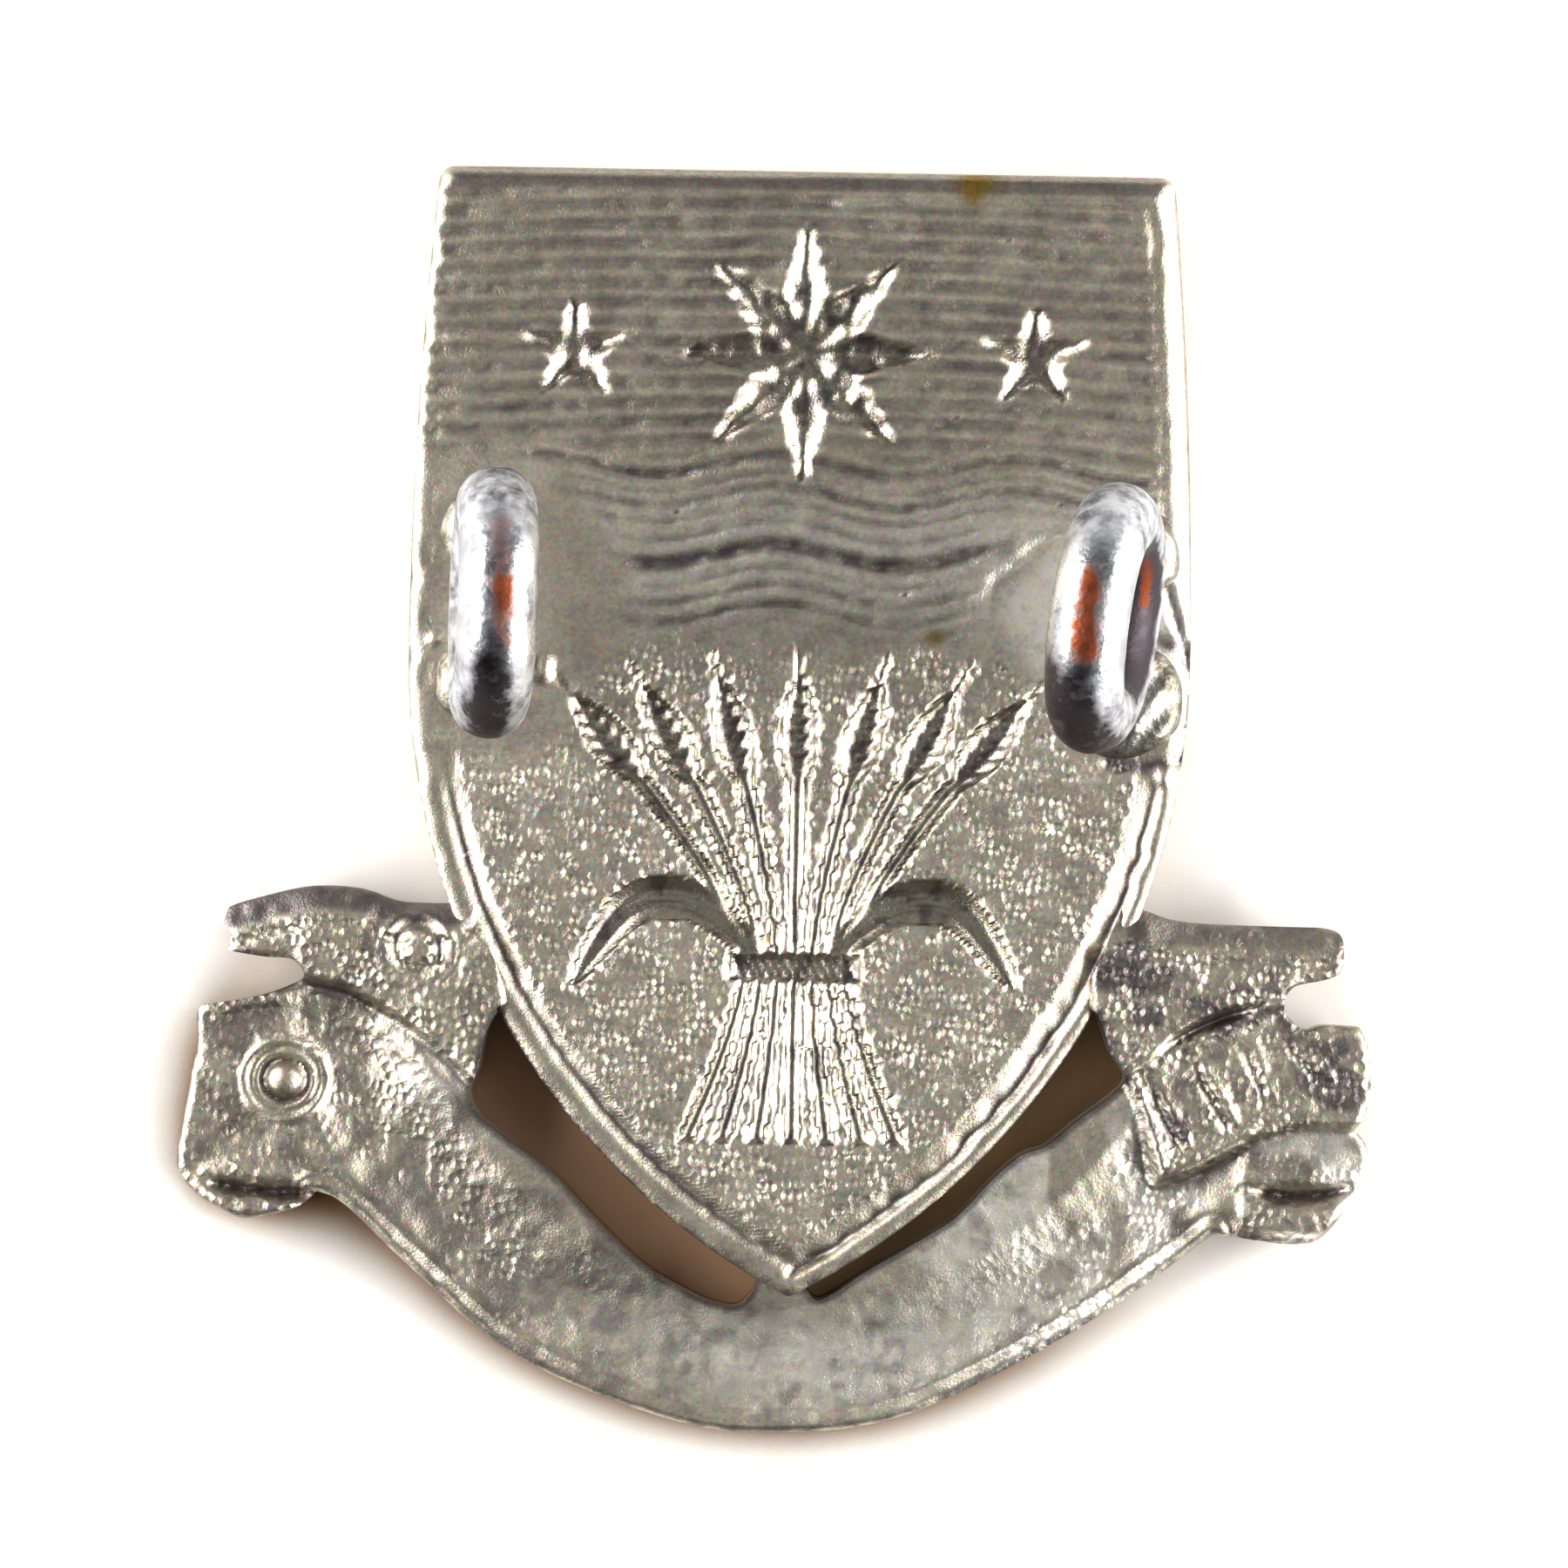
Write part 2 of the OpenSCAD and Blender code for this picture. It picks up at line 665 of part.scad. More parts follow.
// A rounded pool of solder that the ring stands in
module solder(at, lean, turn, offset, r = solder_r) {
    dome = [for (a = [0:15:90]) [r * cos(a), solder_h * sin(a)]];
    color("#c2c4c4")
        difference() {
            translate([at.x, at.y, back_z])
                rotate(turn)
                    translate(offset)
                        rotate_extrude($fn = 48)
                            polygon(concat([[0, 0]], dome));
            ring(at, lean, turn);
        }
}

upper = [0, solder_off];
module lug_left() lug(left_lug_at, lug_left_lean, lug_left_turn);
module lug_right() lug(right_lug_at, -lug_right_lean, lug_right_turn);
module solder_left_upper() solder(left_lug_at, lug_left_lean, lug_left_turn, upper);
module solder_left_lower() solder(left_lug_at, lug_left_lean, lug_left_turn, -upper);
module solder_right_upper() solder(right_lug_at, -lug_right_lean, lug_right_turn, upper);
module solder_right_lower()
    solder(right_lug_at, -lug_right_lean, lug_right_turn, [pool_out, -pool_down], pool_r);

badge_plate();
lug_left();
lug_right();
solder_left_upper();
solder_left_lower();
solder_right_upper();
solder_right_lower();
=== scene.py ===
import math

import bpy
import numpy as np
from mathutils import Matrix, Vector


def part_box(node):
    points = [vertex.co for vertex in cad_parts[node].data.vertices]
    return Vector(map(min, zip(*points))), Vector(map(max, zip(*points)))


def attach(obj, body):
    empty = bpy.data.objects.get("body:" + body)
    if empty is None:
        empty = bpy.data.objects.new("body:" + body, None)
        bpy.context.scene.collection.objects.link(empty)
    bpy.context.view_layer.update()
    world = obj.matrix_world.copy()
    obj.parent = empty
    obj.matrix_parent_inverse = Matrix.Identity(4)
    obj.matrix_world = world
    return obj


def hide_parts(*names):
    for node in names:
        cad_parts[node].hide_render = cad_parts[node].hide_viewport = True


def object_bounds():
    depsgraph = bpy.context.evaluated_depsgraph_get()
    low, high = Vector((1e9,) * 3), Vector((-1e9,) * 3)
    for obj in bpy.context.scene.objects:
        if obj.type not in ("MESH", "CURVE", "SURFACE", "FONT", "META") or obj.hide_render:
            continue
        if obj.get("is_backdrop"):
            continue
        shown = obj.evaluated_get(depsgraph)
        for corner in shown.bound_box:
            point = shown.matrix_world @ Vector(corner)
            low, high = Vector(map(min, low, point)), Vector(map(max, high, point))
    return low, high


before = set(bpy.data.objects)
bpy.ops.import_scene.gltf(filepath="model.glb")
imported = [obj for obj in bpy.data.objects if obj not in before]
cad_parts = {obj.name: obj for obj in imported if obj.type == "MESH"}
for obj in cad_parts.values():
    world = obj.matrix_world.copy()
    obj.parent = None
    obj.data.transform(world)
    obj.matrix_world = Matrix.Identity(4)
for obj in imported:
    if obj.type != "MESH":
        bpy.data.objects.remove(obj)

# A struck cap badge lying face down, seen from above. +Z is the badge's back and +Y its top.
# Sizes are in millimetres and become metres where a mesh is made.
mm = 0.001
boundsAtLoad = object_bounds()
plateLow, plateHigh = (np.array(corner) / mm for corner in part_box("badge_plate"))


# 0 before start, 1 after end and an even slope between, also for start over end
def smooth(start, end, value):
    t = np.clip((value - start) / (end - start), 0, 1)
    return t * t * (3 - 2 * t)


# A rounded rise between start and end, 1 at its middle
def hump(start, end, value):
    t = np.clip((value - start) / (end - start), 0, 1)
    return np.sin(math.pi * t) ** 2


# A bell-shaped rise, 1 at its middle and about a third at half to each side
def bell(value, middle, half):
    return np.exp(-((value - middle) / half) ** 2)


# A round top: 1 at 0 and down to 0 at 1
def domed(value):
    return np.sqrt(np.clip(1 - value ** 2, 0, 1))


# A smooth run through the points (Catmull-Rom)
def curve(points, steps=4):
    p = np.asarray(points, float)
    p = np.vstack([p[:1], p, p[-1:]])
    t = np.linspace(0, 1, steps, endpoint=False)[:, None]
    runs = [b + t / 2 * ((c - a) + t * ((2 * a - 5 * b + 4 * c - d) + t * (3 * (b - c) + d - a)))
            for a, b, c, d in zip(p, p[1:], p[2:], p[3:])]
    return np.vstack(runs + [p[-1:]])


# Distance to a line of points, and how far along it the nearest place is, from 0 to 1
def distanceTo(x, y, line):
    best = np.full(x.shape, np.inf)
    along = np.zeros(x.shape)
    count = len(line) - 1
    for i, ((ax, ay), (bx, by)) in enumerate(zip(line, line[1:])):
        ex, ey = bx - ax, by - ay
        t = np.clip(((x - ax) * ex + (y - ay) * ey) / (ex * ex + ey * ey + 1e-12), 0, 1)
        gap = (x - ax - t * ex) ** 2 + (y - ay - t * ey) ** 2
        along = np.where(gap < best, (i + t) / count, along)
        best = np.minimum(best, gap)
    return np.sqrt(best), along


# Distance to a closed outline, negative inside
def signedDistance(x, y, outline):
    closed = np.vstack([outline, outline[:1]])
    inside = np.zeros(x.shape, bool)
    for (ax, ay), (bx, by) in zip(closed, closed[1:]):
        if ay != by:
            inside ^= ((ay > y) != (by > y)) & (x < ax + (y - ay) * (bx - ax) / (by - ay))
    return np.where(inside, -1, 1) * distanceTo(x, y, closed)[0]


# Smooth unevenness from -1 to 1, with lumps of that size
def softNoise(x, y, size, seed):
    u, v = x / size + 500, y / size + 500
    i, j = np.floor(u).astype(int), np.floor(v).astype(int)
    lattice = np.random.default_rng(seed).uniform(-1, 1, (128, 128))
    s, t = (f * f * (3 - 2 * f) for f in (u - i, v - j))
    corner = lambda a, b: lattice[(j + b) % 128, (i + a) % 128]
    low = corner(0, 0) * (1 - s) + corner(1, 0) * s
    high = corner(0, 1) * (1 - s) + corner(1, 1) * s
    return low * (1 - t) + high * t


# A grid blurred by so many cells
def blurred(grid, cells):
    reach = int(3 * cells) + 1
    weights = np.exp(-0.5 * (np.arange(-reach, reach + 1) / cells) ** 2)
    weights /= weights.sum()
    for way in (0, 1):
        padded = np.pad(grid, [(reach, reach) if a == way else (0, 0) for a in (0, 1)], mode="edge")
        size = grid.shape[way]
        grid = sum(w * np.take(padded, range(k, k + size), way) for k, w in enumerate(weights))
    return grid


# An object in the scene
def placed(name, data):
    piece = bpy.data.objects.new(name, data)
    bpy.context.scene.collection.objects.link(piece)
    return piece


# A piece of the badge: it rides on the root and stands for the CAD nodes
def newPiece(name, mesh, material, nodes):
    mesh.materials.append(material)
    piece = placed(name, mesh)
    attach(piece, "root")
    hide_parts(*nodes)


# A smooth mesh from points in mm, with fields as values on its points and edges sharp above 60 degrees
def meshOf(name, points, faces, fields={}):
    mesh = bpy.data.meshes.new(name)
    mesh.from_pydata((np.asarray(points) * mm).tolist(), [], faces)
    for key, values in fields.items():
        mesh.attributes.new(key, "FLOAT", "POINT").data.foreach_set("value", values.astype(np.float32))
    mesh.polygons.foreach_set("use_smooth", np.ones(len(mesh.polygons), bool))
    mesh.set_sharp_from_angle(angle=math.radians(60))
    mesh.update()
    return mesh


# A closed sheet where distance is negative: a back and a front face from heights on a grid, with their rim
# moved onto the zero line, and a wall between them
def sheetMesh(name, x, y, distance, back, front, fields):
    step = max(x[0, 1] - x[0, 0], y[1, 0] - y[0, 0])
    slopeY, slopeX = np.gradient(distance, y[1, 0] - y[0, 0], x[0, 1] - x[0, 0])
    steep = slopeX ** 2 + slopeY ** 2 + 1e-9
    rim = (distance > -0.3 * step) & (distance < 0.7 * step) & (steep > 0.25)
    kept = (distance < 0) | rim
    px = np.where(rim, x - distance * slopeX / steep, x)
    py = np.clip(np.where(rim, y - distance * slopeY / steep, y), plateLow[1], plateHigh[1])

    # Two triangles for each cell with four kept corners, one for each with three
    index = np.arange(x.size).reshape(x.shape)
    a, b, c, d = index[:-1, :-1], index[:-1, 1:], index[1:, 1:], index[1:, :-1]
    corners = np.stack([a, b, c, d], -1).reshape(-1, 4)
    good = kept.ravel()[corners]
    triangles = [corners[good.all(1)][:, pick] for pick in ([0, 1, 2], [0, 2, 3])]
    for missing in range(4):
        only = (good.sum(1) == 3) & ~good[:, missing]
        triangles.append(np.delete(corners[only], missing, 1))
    triangles = np.vstack(triangles)
    flat = np.stack([px.ravel(), py.ravel()], -1)
    one, two, three = (flat[triangles[:, k]] for k in range(3))
    area = np.cross(two - one, three - one) / 2
    triangles = triangles[area > 0.02 * step * step]

    def openEdges():
        edges = np.vstack([triangles[:, pair] for pair in ([0, 1], [1, 2], [2, 0])])
        key = edges[:, 0] * x.size + edges[:, 1]
        return edges[~np.isin(edges[:, 1] * x.size + edges[:, 0], key)]

    # Points where two parts of the sheet would meet by a corner only are left out
    pinched = [0]
    while len(pinched):
        starts, uses = np.unique(openEdges()[:, 0], return_counts=True)
        pinched = starts[uses > 1]
        triangles = triangles[~np.isin(triangles, pinched).any(1)]

    used, triangles = np.unique(triangles, return_inverse=True)
    triangles = triangles.reshape(-1, 3)
    count = len(used)
    pick = lambda grid: grid.ravel()[used]
    points = np.vstack([np.stack([pick(px), pick(py), pick(z)], -1) for z in (back, front)])

    wall = openEdges()
    faces = triangles.tolist() + (triangles[:, ::-1] + count).tolist()
    faces += [[q, p, p + count, q + count] for p, q in wall.tolist()]
    # The front has the back's ground and charges, but grime and painted shade only in its own recesses
    recess = 0.6 * np.clip((front - blurred(front, 5)) / 0.14, 0, 1)
    frontFields = {**fields, "hollow": recess, "stain": 0 * recess}
    values = {k: np.concatenate([pick(v), pick(frontFields[k])]) for k, v in fields.items()}
    print(f"{name}: {2 * len(triangles) + 2 * len(wall)} triangles")
    return meshOf(name, points, faces, values)


# Rows of x and y over a box, with that step in x and in y
def gridOver(low, high, step):
    xs = np.arange(low[0] - 2 * step[0], high[0] + 2 * step[0], step[0])
    ys = np.arange(low[1] - 2 * step[1], high[1] + 2 * step[1], step[1])
    return np.meshgrid(xs, ys)


# Linear red, green, blue and alpha of an sRGB hex colour
def linear(hexColour):
    parts = [int(hexColour[k:k + 2], 16) / 255 for k in (1, 3, 5)]
    return [p / 12.92 if p <= 0.04045 else ((p + 0.055) / 1.055) ** 2.4 for p in parts] + [1]


# A node's inputs set to values or hex colours, or joined to other nodes' outputs
def setInputs(tree, node, inputs):
    for key, value in inputs.items():
        if isinstance(value, bpy.types.NodeSocket):
            tree.links.new(value, node.inputs[key])
        else:
            node.inputs[key].default_value = linear(value) if isinstance(value, str) else value


# A shader node with its inputs and settings
def addNode(tree, kind, inputs={}, **settings):
    node = tree.nodes.new("ShaderNode" + kind)
    for key, value in settings.items():
        setattr(node, key, value)
    setInputs(tree, node, inputs)
    return node


# Colour between two colours
def mixed(tree, factor, first, second):
    return addNode(tree, "Mix", {0: factor, 6: first, 7: second}, data_type="RGBA").outputs[2]


# Value taken from one range to another
def ranged(tree, value, fromLow, fromHigh, toLow=0.0, toHigh=1.0):
    inputs = {"Value": value, "From Min": fromLow, "From Max": fromHigh, "To Min": toLow, "To Max": toHigh}
    return addNode(tree, "MapRange", inputs).outputs[0]


# Two values added, multiplied and so on
def maths(tree, operation, first, second):
    return addNode(tree, "Math", {0: first, 1: second}, operation=operation).outputs[0]


# Values stored on the points of the mesh
def stored(tree, *names):
    return [addNode(tree, "Attribute", attribute_name=name).outputs["Fac"] for name in names]


# A normal raised by a height of 0 to 1 times that depth in mm
def bumped(tree, height, depth):
    return addNode(tree, "Bump", {"Height": height, "Distance": depth * mm, "Strength": 1.0})


# An empty material: its node tree, its surface and a place on the object in mm
def newMaterial(name):
    material = bpy.data.materials.new(name)
    material.use_nodes = True
    tree = material.node_tree
    surface = tree.nodes["Principled BSDF"]
    place = addNode(tree, "TexCoord").outputs["Object"]
    inMm = addNode(tree, "VectorMath", {0: place, 1: (1 / mm,) * 3}, operation="MULTIPLY").outputs[0]
    return material, tree, surface, inMm


# A metal's surface
def finished(tree, surface, colour, rough, bump):
    setInputs(tree, surface, {"Base Color": colour, "Roughness": rough, "Normal": bump.outputs[0],
                              "Metallic": 1.0})


# Noise with lumps of that size in mm, from about 0.3 to 0.7
def noise(tree, place, size, detail=2.0, rough=0.5):
    inputs = {"Vector": place, "Scale": 1 / size, "Detail": detail, "Roughness": rough}
    return addNode(tree, "TexNoise", inputs).outputs[0]


struckMetal = {
    "middle": "#a89f8e",
    "light": "#b8b09e",
    "dark": "#524a50",
    "paintedSheen": "#e6e0d1",     # painted sheen
    "stain": "#8a6f2c",     # rust and olive tarnish in a few spots
    "roughness": (0.34, 0.42),
    "polished": 0.25,       # roughness of the charges
    "punchSize": 0.3,       # pitch of the punched ground
    "punchDepth": 0.06,
    "grainSize": 0.075,
    "grainDepth": 0.016,
    "blotchSize": 2.2,
    "grimeSize": 0.5,       # small dark patches all over
    "grime": 0.3,
    "speckleSize": 0.13,
    "speckle": 0.45,        # how much the grain's hue varies
}


# White metal, die-struck: satin flats, a punched ground, grime and painted shade in the hollows, painted
# sheen in places and brighter charges
def struckMetalMaterial():
    look = struckMetal
    material, tree, surface, place = newMaterial("struckWhiteMetal")
    hollow, punched, charge, stain, bright = stored(tree, "hollow", "punched", "charge", "stain", "bright")

    blotch = noise(tree, place, look["blotchSize"], 4.0, 0.6)
    colour = mixed(tree, ranged(tree, blotch, 0.35, 0.7), look["middle"], look["light"])
    grime = ranged(tree, noise(tree, place, look["grimeSize"], 4.0, 0.65), 0.5, 0.72, 0.0, look["grime"])
    # Darker towards the dark tone with grime and with painted shade in recesses, grooves and creases;
    # lighter towards the sheen tone with painted sheen
    deep = ranged(tree, hollow, 0.1, 1.0, 0.0, 0.85)
    for share, tone in ((bright, "paintedSheen"), (grime, "dark"), (deep, "dark"), (stain, "stain")):
        colour = mixed(tree, share, colour, look[tone])
    speckle = addNode(tree, "TexNoise", {"Vector": place, "Scale": 1 / look["speckleSize"], "Detail": 1.0})
    colour = addNode(tree, "Mix", {0: look["speckle"], 6: colour, 7: speckle.outputs["Color"]},
                     data_type="RGBA", blend_type="OVERLAY").outputs[2]

    rough = ranged(tree, noise(tree, place, 0.8, 3.0), 0.3, 0.7, *look["roughness"])
    rough = addNode(tree, "Mix", {0: charge, 2: rough, 3: look["polished"]}).outputs[0]

    cells = addNode(tree, "TexVoronoi", {"Vector": place, "Scale": 1 / look["punchSize"], "Randomness": 1.0})
    dots = ranged(tree, cells.outputs["Distance"], 0.1, 0.6)
    dots = maths(tree, "MULTIPLY", dots, punched)
    dots = maths(tree, "MULTIPLY", dots, ranged(tree, noise(tree, place, 0.9), 0.35, 0.65, 0.35, 1.0))
    grain = noise(tree, place, look["grainSize"], 3.0, 0.65)
    bump = bumped(tree, dots, look["punchDepth"])
    tree.links.new(bumped(tree, grain, look["grainDepth"]).outputs[0], bump.inputs["Normal"])
    finished(tree, surface, colour, rough, bump)
    return material


platedWire = {
    "plating": "#b9babd",
    "copper": "#803a16",
    # Dark tone for dull patches, and for painted shade and dark reflection at the south end
    "tarnishAndShade": "#352f32",
    "roughness": (0.16, 0.34),
    "bareRough": 0.22,      # what is added where the copper is bare
    "mattRough": 0.26,      # and where the plating has gone matt
    "bump": (0.16, 0.016),  # size and depth of the unevenness
}


# Bright plating on copper wire, worn through along the crown, with painted shade and dark reflection at the
# lower end
def platedWireMaterial():
    look = platedWire
    material, tree, surface, place = newMaterial("platedCopperWire")
    worn, tarnishAndShade, matt = stored(tree, "worn", "tarnishAndShade", "matt")
    patchy = noise(tree, place, 0.35, 4.0, 0.6)
    bare = maths(tree, "ADD", worn, ranged(tree, patchy, 0.3, 0.7, -0.2, 0.2))
    bare = ranged(tree, bare, 0.25, 0.8, 0.0, 0.96)
    dullAndShade = ranged(tree, noise(tree, place, 0.9, 3.0), 0.45, 0.7, 0.0, 0.35)
    spotted = ranged(tree, noise(tree, place, 0.5, 4.0, 0.6), 0.42, 0.62, 0.0, 0.6)
    dullAndShade = maths(tree, "ADD", dullAndShade, maths(tree, "MULTIPLY", spotted, matt))
    dullAndShade = addNode(tree, "Math", {0: dullAndShade, 1: tarnishAndShade}, operation="ADD", use_clamp=True).outputs[0]
    colour = mixed(tree, dullAndShade, look["plating"], look["tarnishAndShade"])
    colour = mixed(tree, bare, colour, look["copper"])
    rough = ranged(tree, patchy, 0.3, 0.7, *look["roughness"])
    for share, added in ((bare, "bareRough"), (matt, "mattRough")):
        rough = maths(tree, "ADD", rough, maths(tree, "MULTIPLY", share, look[added]))
    size, depth = look["bump"]
    finished(tree, surface, colour, rough, bumped(tree, noise(tree, place, size, 4.0), depth))
    return material


solderLook = {
    "bright": "#9d9a92",
    "flux": "#5d5648",
    "roughness": (0.3, 0.5),
    "bump": (0.25, 0.05),   # size and depth of the unevenness
}


# Tin solder: bright, with dull patches of burnt flux
def solderMaterial():
    look = solderLook
    material, tree, surface, place = newMaterial("tinSolder")
    patchy = noise(tree, place, 0.5, 4.0, 0.6)
    colour = mixed(tree, ranged(tree, patchy, 0.4, 0.62), look["bright"], look["flux"])
    rough = ranged(tree, patchy, 0.3, 0.7, *look["roughness"])
    size, depth = look["bump"]
    finished(tree, surface, colour, rough, bumped(tree, noise(tree, place, size, 4.0), depth))
    return material


shield = {
    "middleX": 0.5,         # sideways place of its centre line
    "halfWidth": 10.7,      # at the shoulder
    "halfTop": 10.05,
    "height": 30.8,
    "shoulder": 17.5,       # above the tip
    "border": 1.0,
    "grid": (0.121, 0.0935),    # cells of the sheet's mesh
}
middleX = shield["middleX"]
shield["top"] = plateHigh[1]
shield["tip"] = shield["top"] - shield["height"]
shield["turn"] = shield["tip"] + shield["shoulder"]


# Distance from the shield's edge, more than 0 inside: upper and lower sides are arcs round two centres
def shieldInset(x, y):
    w, drop, rise = shield["halfWidth"], shield["shoulder"], shield["top"] - shield["turn"]
    sideR = (w * w + drop * drop) / (2 * w)
    flareR = rise * rise / (2 * (w - shield["halfTop"])) + (w - shield["halfTop"]) / 2
    out, up = abs(x - middleX), y - shield["turn"]
    lower = sideR - np.hypot(out - (w - sideR), up)
    upper = flareR - np.hypot(out - (w - flareR), up)
    side = np.where(up < 0, lower, upper)
    over = shield["top"] - y
    corner = 0.4
    rounded = corner - np.hypot(np.maximum(corner - side, 0), np.maximum(corner - over, 0))
    return np.where((side < corner) & (over < corner), rounded, np.minimum(side, over))


tailTopLeft = [[-8.8, -2.9], [-9.7, -2.9], [-10.4, -2.85], [-11.3, -2.55], [-12.3, -2.47], [-13.2, -2.56],
               [-14.6, -2.94], [-15.0, -3.1]]
tailTopRight = [[14.9, -3.15], [13.4, -3.14], [11.6, -3.1], [10.7, -2.98], [10.0, -2.75], [9.2, -2.75]]
lowerEdge = [[-12.5, -10.85], [-11.7, -11.2], [-9.75, -13.0], [-6.9, -15.3], [-2.7, -16.93], [0.3, -17.24],
             [3.9, -16.65], [8.56, -14.2], [12.1, -11.6]]


# The ribbon's outline, from the left tail round below to the right. Each run starts where the last ends.
scrollRuns = [
    tailTopLeft,
    [[-15.1, -3.5], [-14.9, -3.8], [-15.0, -4.28]],
    [[-14.0, -4.43], [-13.2, -4.5], [-12.9, -4.94], [-13.4, -5.25], [-14.3, -5.55], [-15.7, -5.8]],
    [[-15.85, -6.1], [-15.8, -6.85], [-15.95, -7.6], [-16.15, -8.9]],
    [[-16.33, -10.0], [-16.2, -10.5], [-15.7, -11.0], [-14.9, -11.43], [-14.3, -11.6], [-13.0, -11.27],
     [-12.5, -10.85]],
    lowerEdge[1:],
    [[13.3, -11.75], [14.4, -11.85], [15.1, -11.6], [15.97, -10.4], [16.29, -9.6], [16.2, -9.0],
     [15.9, -8.7]],
    [[16.2, -8.2], [16.33, -7.6], [16.25, -6.5], [16.0, -5.86]],
    [[15.0, -5.83], [14.5, -5.96], [13.95, -5.5], [13.95, -5.06], [14.2, -4.75], [14.9, -4.6]],
    [[15.4, -4.4], [15.52, -3.9], [15.4, -3.3], [14.9, -3.15]],
    tailTopRight[1:],
]
scrollOutline = np.vstack([curve(last[-1:] + run) for last, run in zip([[]] + scrollRuns, scrollRuns)])
leftSlot = np.vstack([
    curve([[-7.55, -5.75], [-7.9, -6.4], [-8.1, -7.4], [-8.35, -8.1], [-8.05, -8.76]]),
    curve([[-8.05, -8.76], [-7.36, -9.3], [-6.2, -10.1], [-5.14, -11.2], [-3.6, -12.66], [-2.55, -13.3],
           [-1.64, -13.72], [-0.9, -13.82], [-0.45, -13.35]]),
    [[0.2, -11.5], [-6.5, -5.0]],
])
rightSlot = np.vstack([
    curve([[8.8, -5.6], [9.0, -6.1], [9.2, -6.7], [9.63, -7.45], [8.9, -8.15]]),
    curve([[8.9, -8.15], [8.3, -8.6], [7.5, -9.27], [6.8, -9.55], [6.0, -10.25], [5.13, -11.2],
           [4.25, -11.8], [2.6, -12.8], [1.75, -13.4], [1.25, -13.6], [0.95, -13.3]]),
    [[0.8, -11.5], [7.5, -5.0]],
])
leftTailArea = np.vstack([
    [[-7.9, -1.5], [-16.5, -1.5], [-16.5, -4.9]],
    curve([[-12.95, -4.9], [-11.5, -5.3], [-9.9, -6.2], [-8.6, -7.3], [-8.2, -7.7]]),
    [[-7.4, -7.7], [-7.4, -5.5]],
])
rightTailArea = np.vstack([
    [[8.6, -1.5], [16.6, -1.5], [16.6, -5.2]],
    curve([[13.9, -5.2], [12.6, -5.4], [11.2, -6.0], [9.9, -6.9], [9.5, -7.2]]),
    [[8.8, -7.2], [8.6, -5.6]],
])
rightFoldArea = np.vstack([
    curve([[9.3, -7.0], [9.8, -8.0], [10.2, -9.2], [10.5, -10.3]]),
    curve([[10.5, -10.3], [11.6, -9.95], [12.8, -9.3], [14.2, -8.75], [16.0, -8.7]]),
    [[16.8, -8.7], [16.8, -5.2], [13.9, -5.0]],
])


heights = {
    "field": 0.8,           # front face of the shield's field
    "back": 1.8,            # its back
    "ribbon": 0.5,          # front face of the ribbon
    "ribbonBack": 1.5,
    "tailBack": 2.0,
    "foldBack": 1.7,
    "thinnest": 0.35,       # the sheet nowhere gets thinner than this
}


# A many-pointed star with a ridge along each ray: 1 at its middle, 0 at its edge
def starDepth(x, y, centre, count, reach, waist):
    dx, dy = x - centre[0], y - centre[1]
    half = math.pi / count
    turn = np.abs((np.arctan2(dy, dx) - math.pi / 2 + half) % (2 * half) - half)
    out, across = np.hypot(dx, dy) * np.cos(turn), np.hypot(dx, dy) * np.sin(turn)
    cx, cy = waist * math.cos(half), waist * math.sin(half)
    gauge = (out * cy + across * (reach - cx)) / (reach * cy)
    return np.clip(1 - gauge, 0, 1)


chief = {
    "bottom": 9.37,         # boundary between hatching and waves
    "hatchPitch": 0.54,
    "hatchDepth": 0.14,
    "arch": 0.0035,         # bend of the hatching: it drops by this times the distance squared
    "starReach": 3.8,
    "starWaist": 1.6,
    "starY": 12.32,
    "smallReach": 1.6,
    "smallWaist": 0.67,
    "smallX": 6.3,
    "waveHeight": 0.28,
    "waveLength": 6.6,
    "waveCrest": -0.2,      # sideways place of a crest
    # Each wave line: how far it lies from the boundary, its width and its depth
    "waves": [(-0.15, 0.42, 0.19), (-0.62, 0.27, 0.08), (-1.0, 0.36, 0.15), (-1.45, 0.28, 0.1),
              (-1.95, 0.3, 0.11), (-2.6, 0.7, 0.22), (-3.2, 0.28, 0.09), (-3.68, 0.34, 0.16),
              (-4.2, 0.34, 0.16), (-4.66, 0.3, 0.1)],
}


# Depth of the chief's stars, and of the engraved lines round them
def chiefRelief(x, y):
    big = starDepth(x, y, (middleX, chief["starY"]), 8, chief["starReach"], chief["starWaist"])
    small = np.maximum(*(starDepth(x, y, (middleX + side * chief["smallX"], chief["starY"]), 5,
                                   chief["smallReach"], chief["smallWaist"]) for side in (-1, 1)))
    stars = 0.3 * smooth(0, 0.1, big) + 0.7 * big
    stars = np.maximum(stars, 0.35 * smooth(0, 0.15, small) + 0.4 * small)

    wave = chief["waveHeight"] * np.cos(2 * math.pi * (x - chief["waveCrest"]) / chief["waveLength"])
    over = y - chief["bottom"] - wave
    level = y - chief["bottom"] + chief["arch"] * (x - middleX) ** 2
    level += 0.05 * softNoise(x, y, 2.5, 12) + 0.025 * softNoise(x, y, 0.5, 16)
    worn = 0.75 + 0.3 * softNoise(x, y, 1.8, 3) + 0.2 * softNoise(x, 3 * y, 0.9, 4)
    worn += 0.35 * softNoise(x, 2 * y, 0.34, 9)
    lines = chief["hatchDepth"] * (0.5 + 0.5 * np.cos(2 * math.pi * level / chief["hatchPitch"]))
    lines *= worn * smooth(0.1, 0.4, over)
    for k, (place, width, depth) in enumerate(chief["waves"]):
        along = 0.7 + 0.4 * softNoise(x, y + 9 * k, 1.7, 60 + k) + 0.35 * softNoise(x, 2 * y, 0.34, 80 + k)
        lines += depth * along * hump(place - width / 2, place + width / 2, over)
    return stars, lines * (1 - smooth(0.0, 0.01, np.maximum(big, small)))


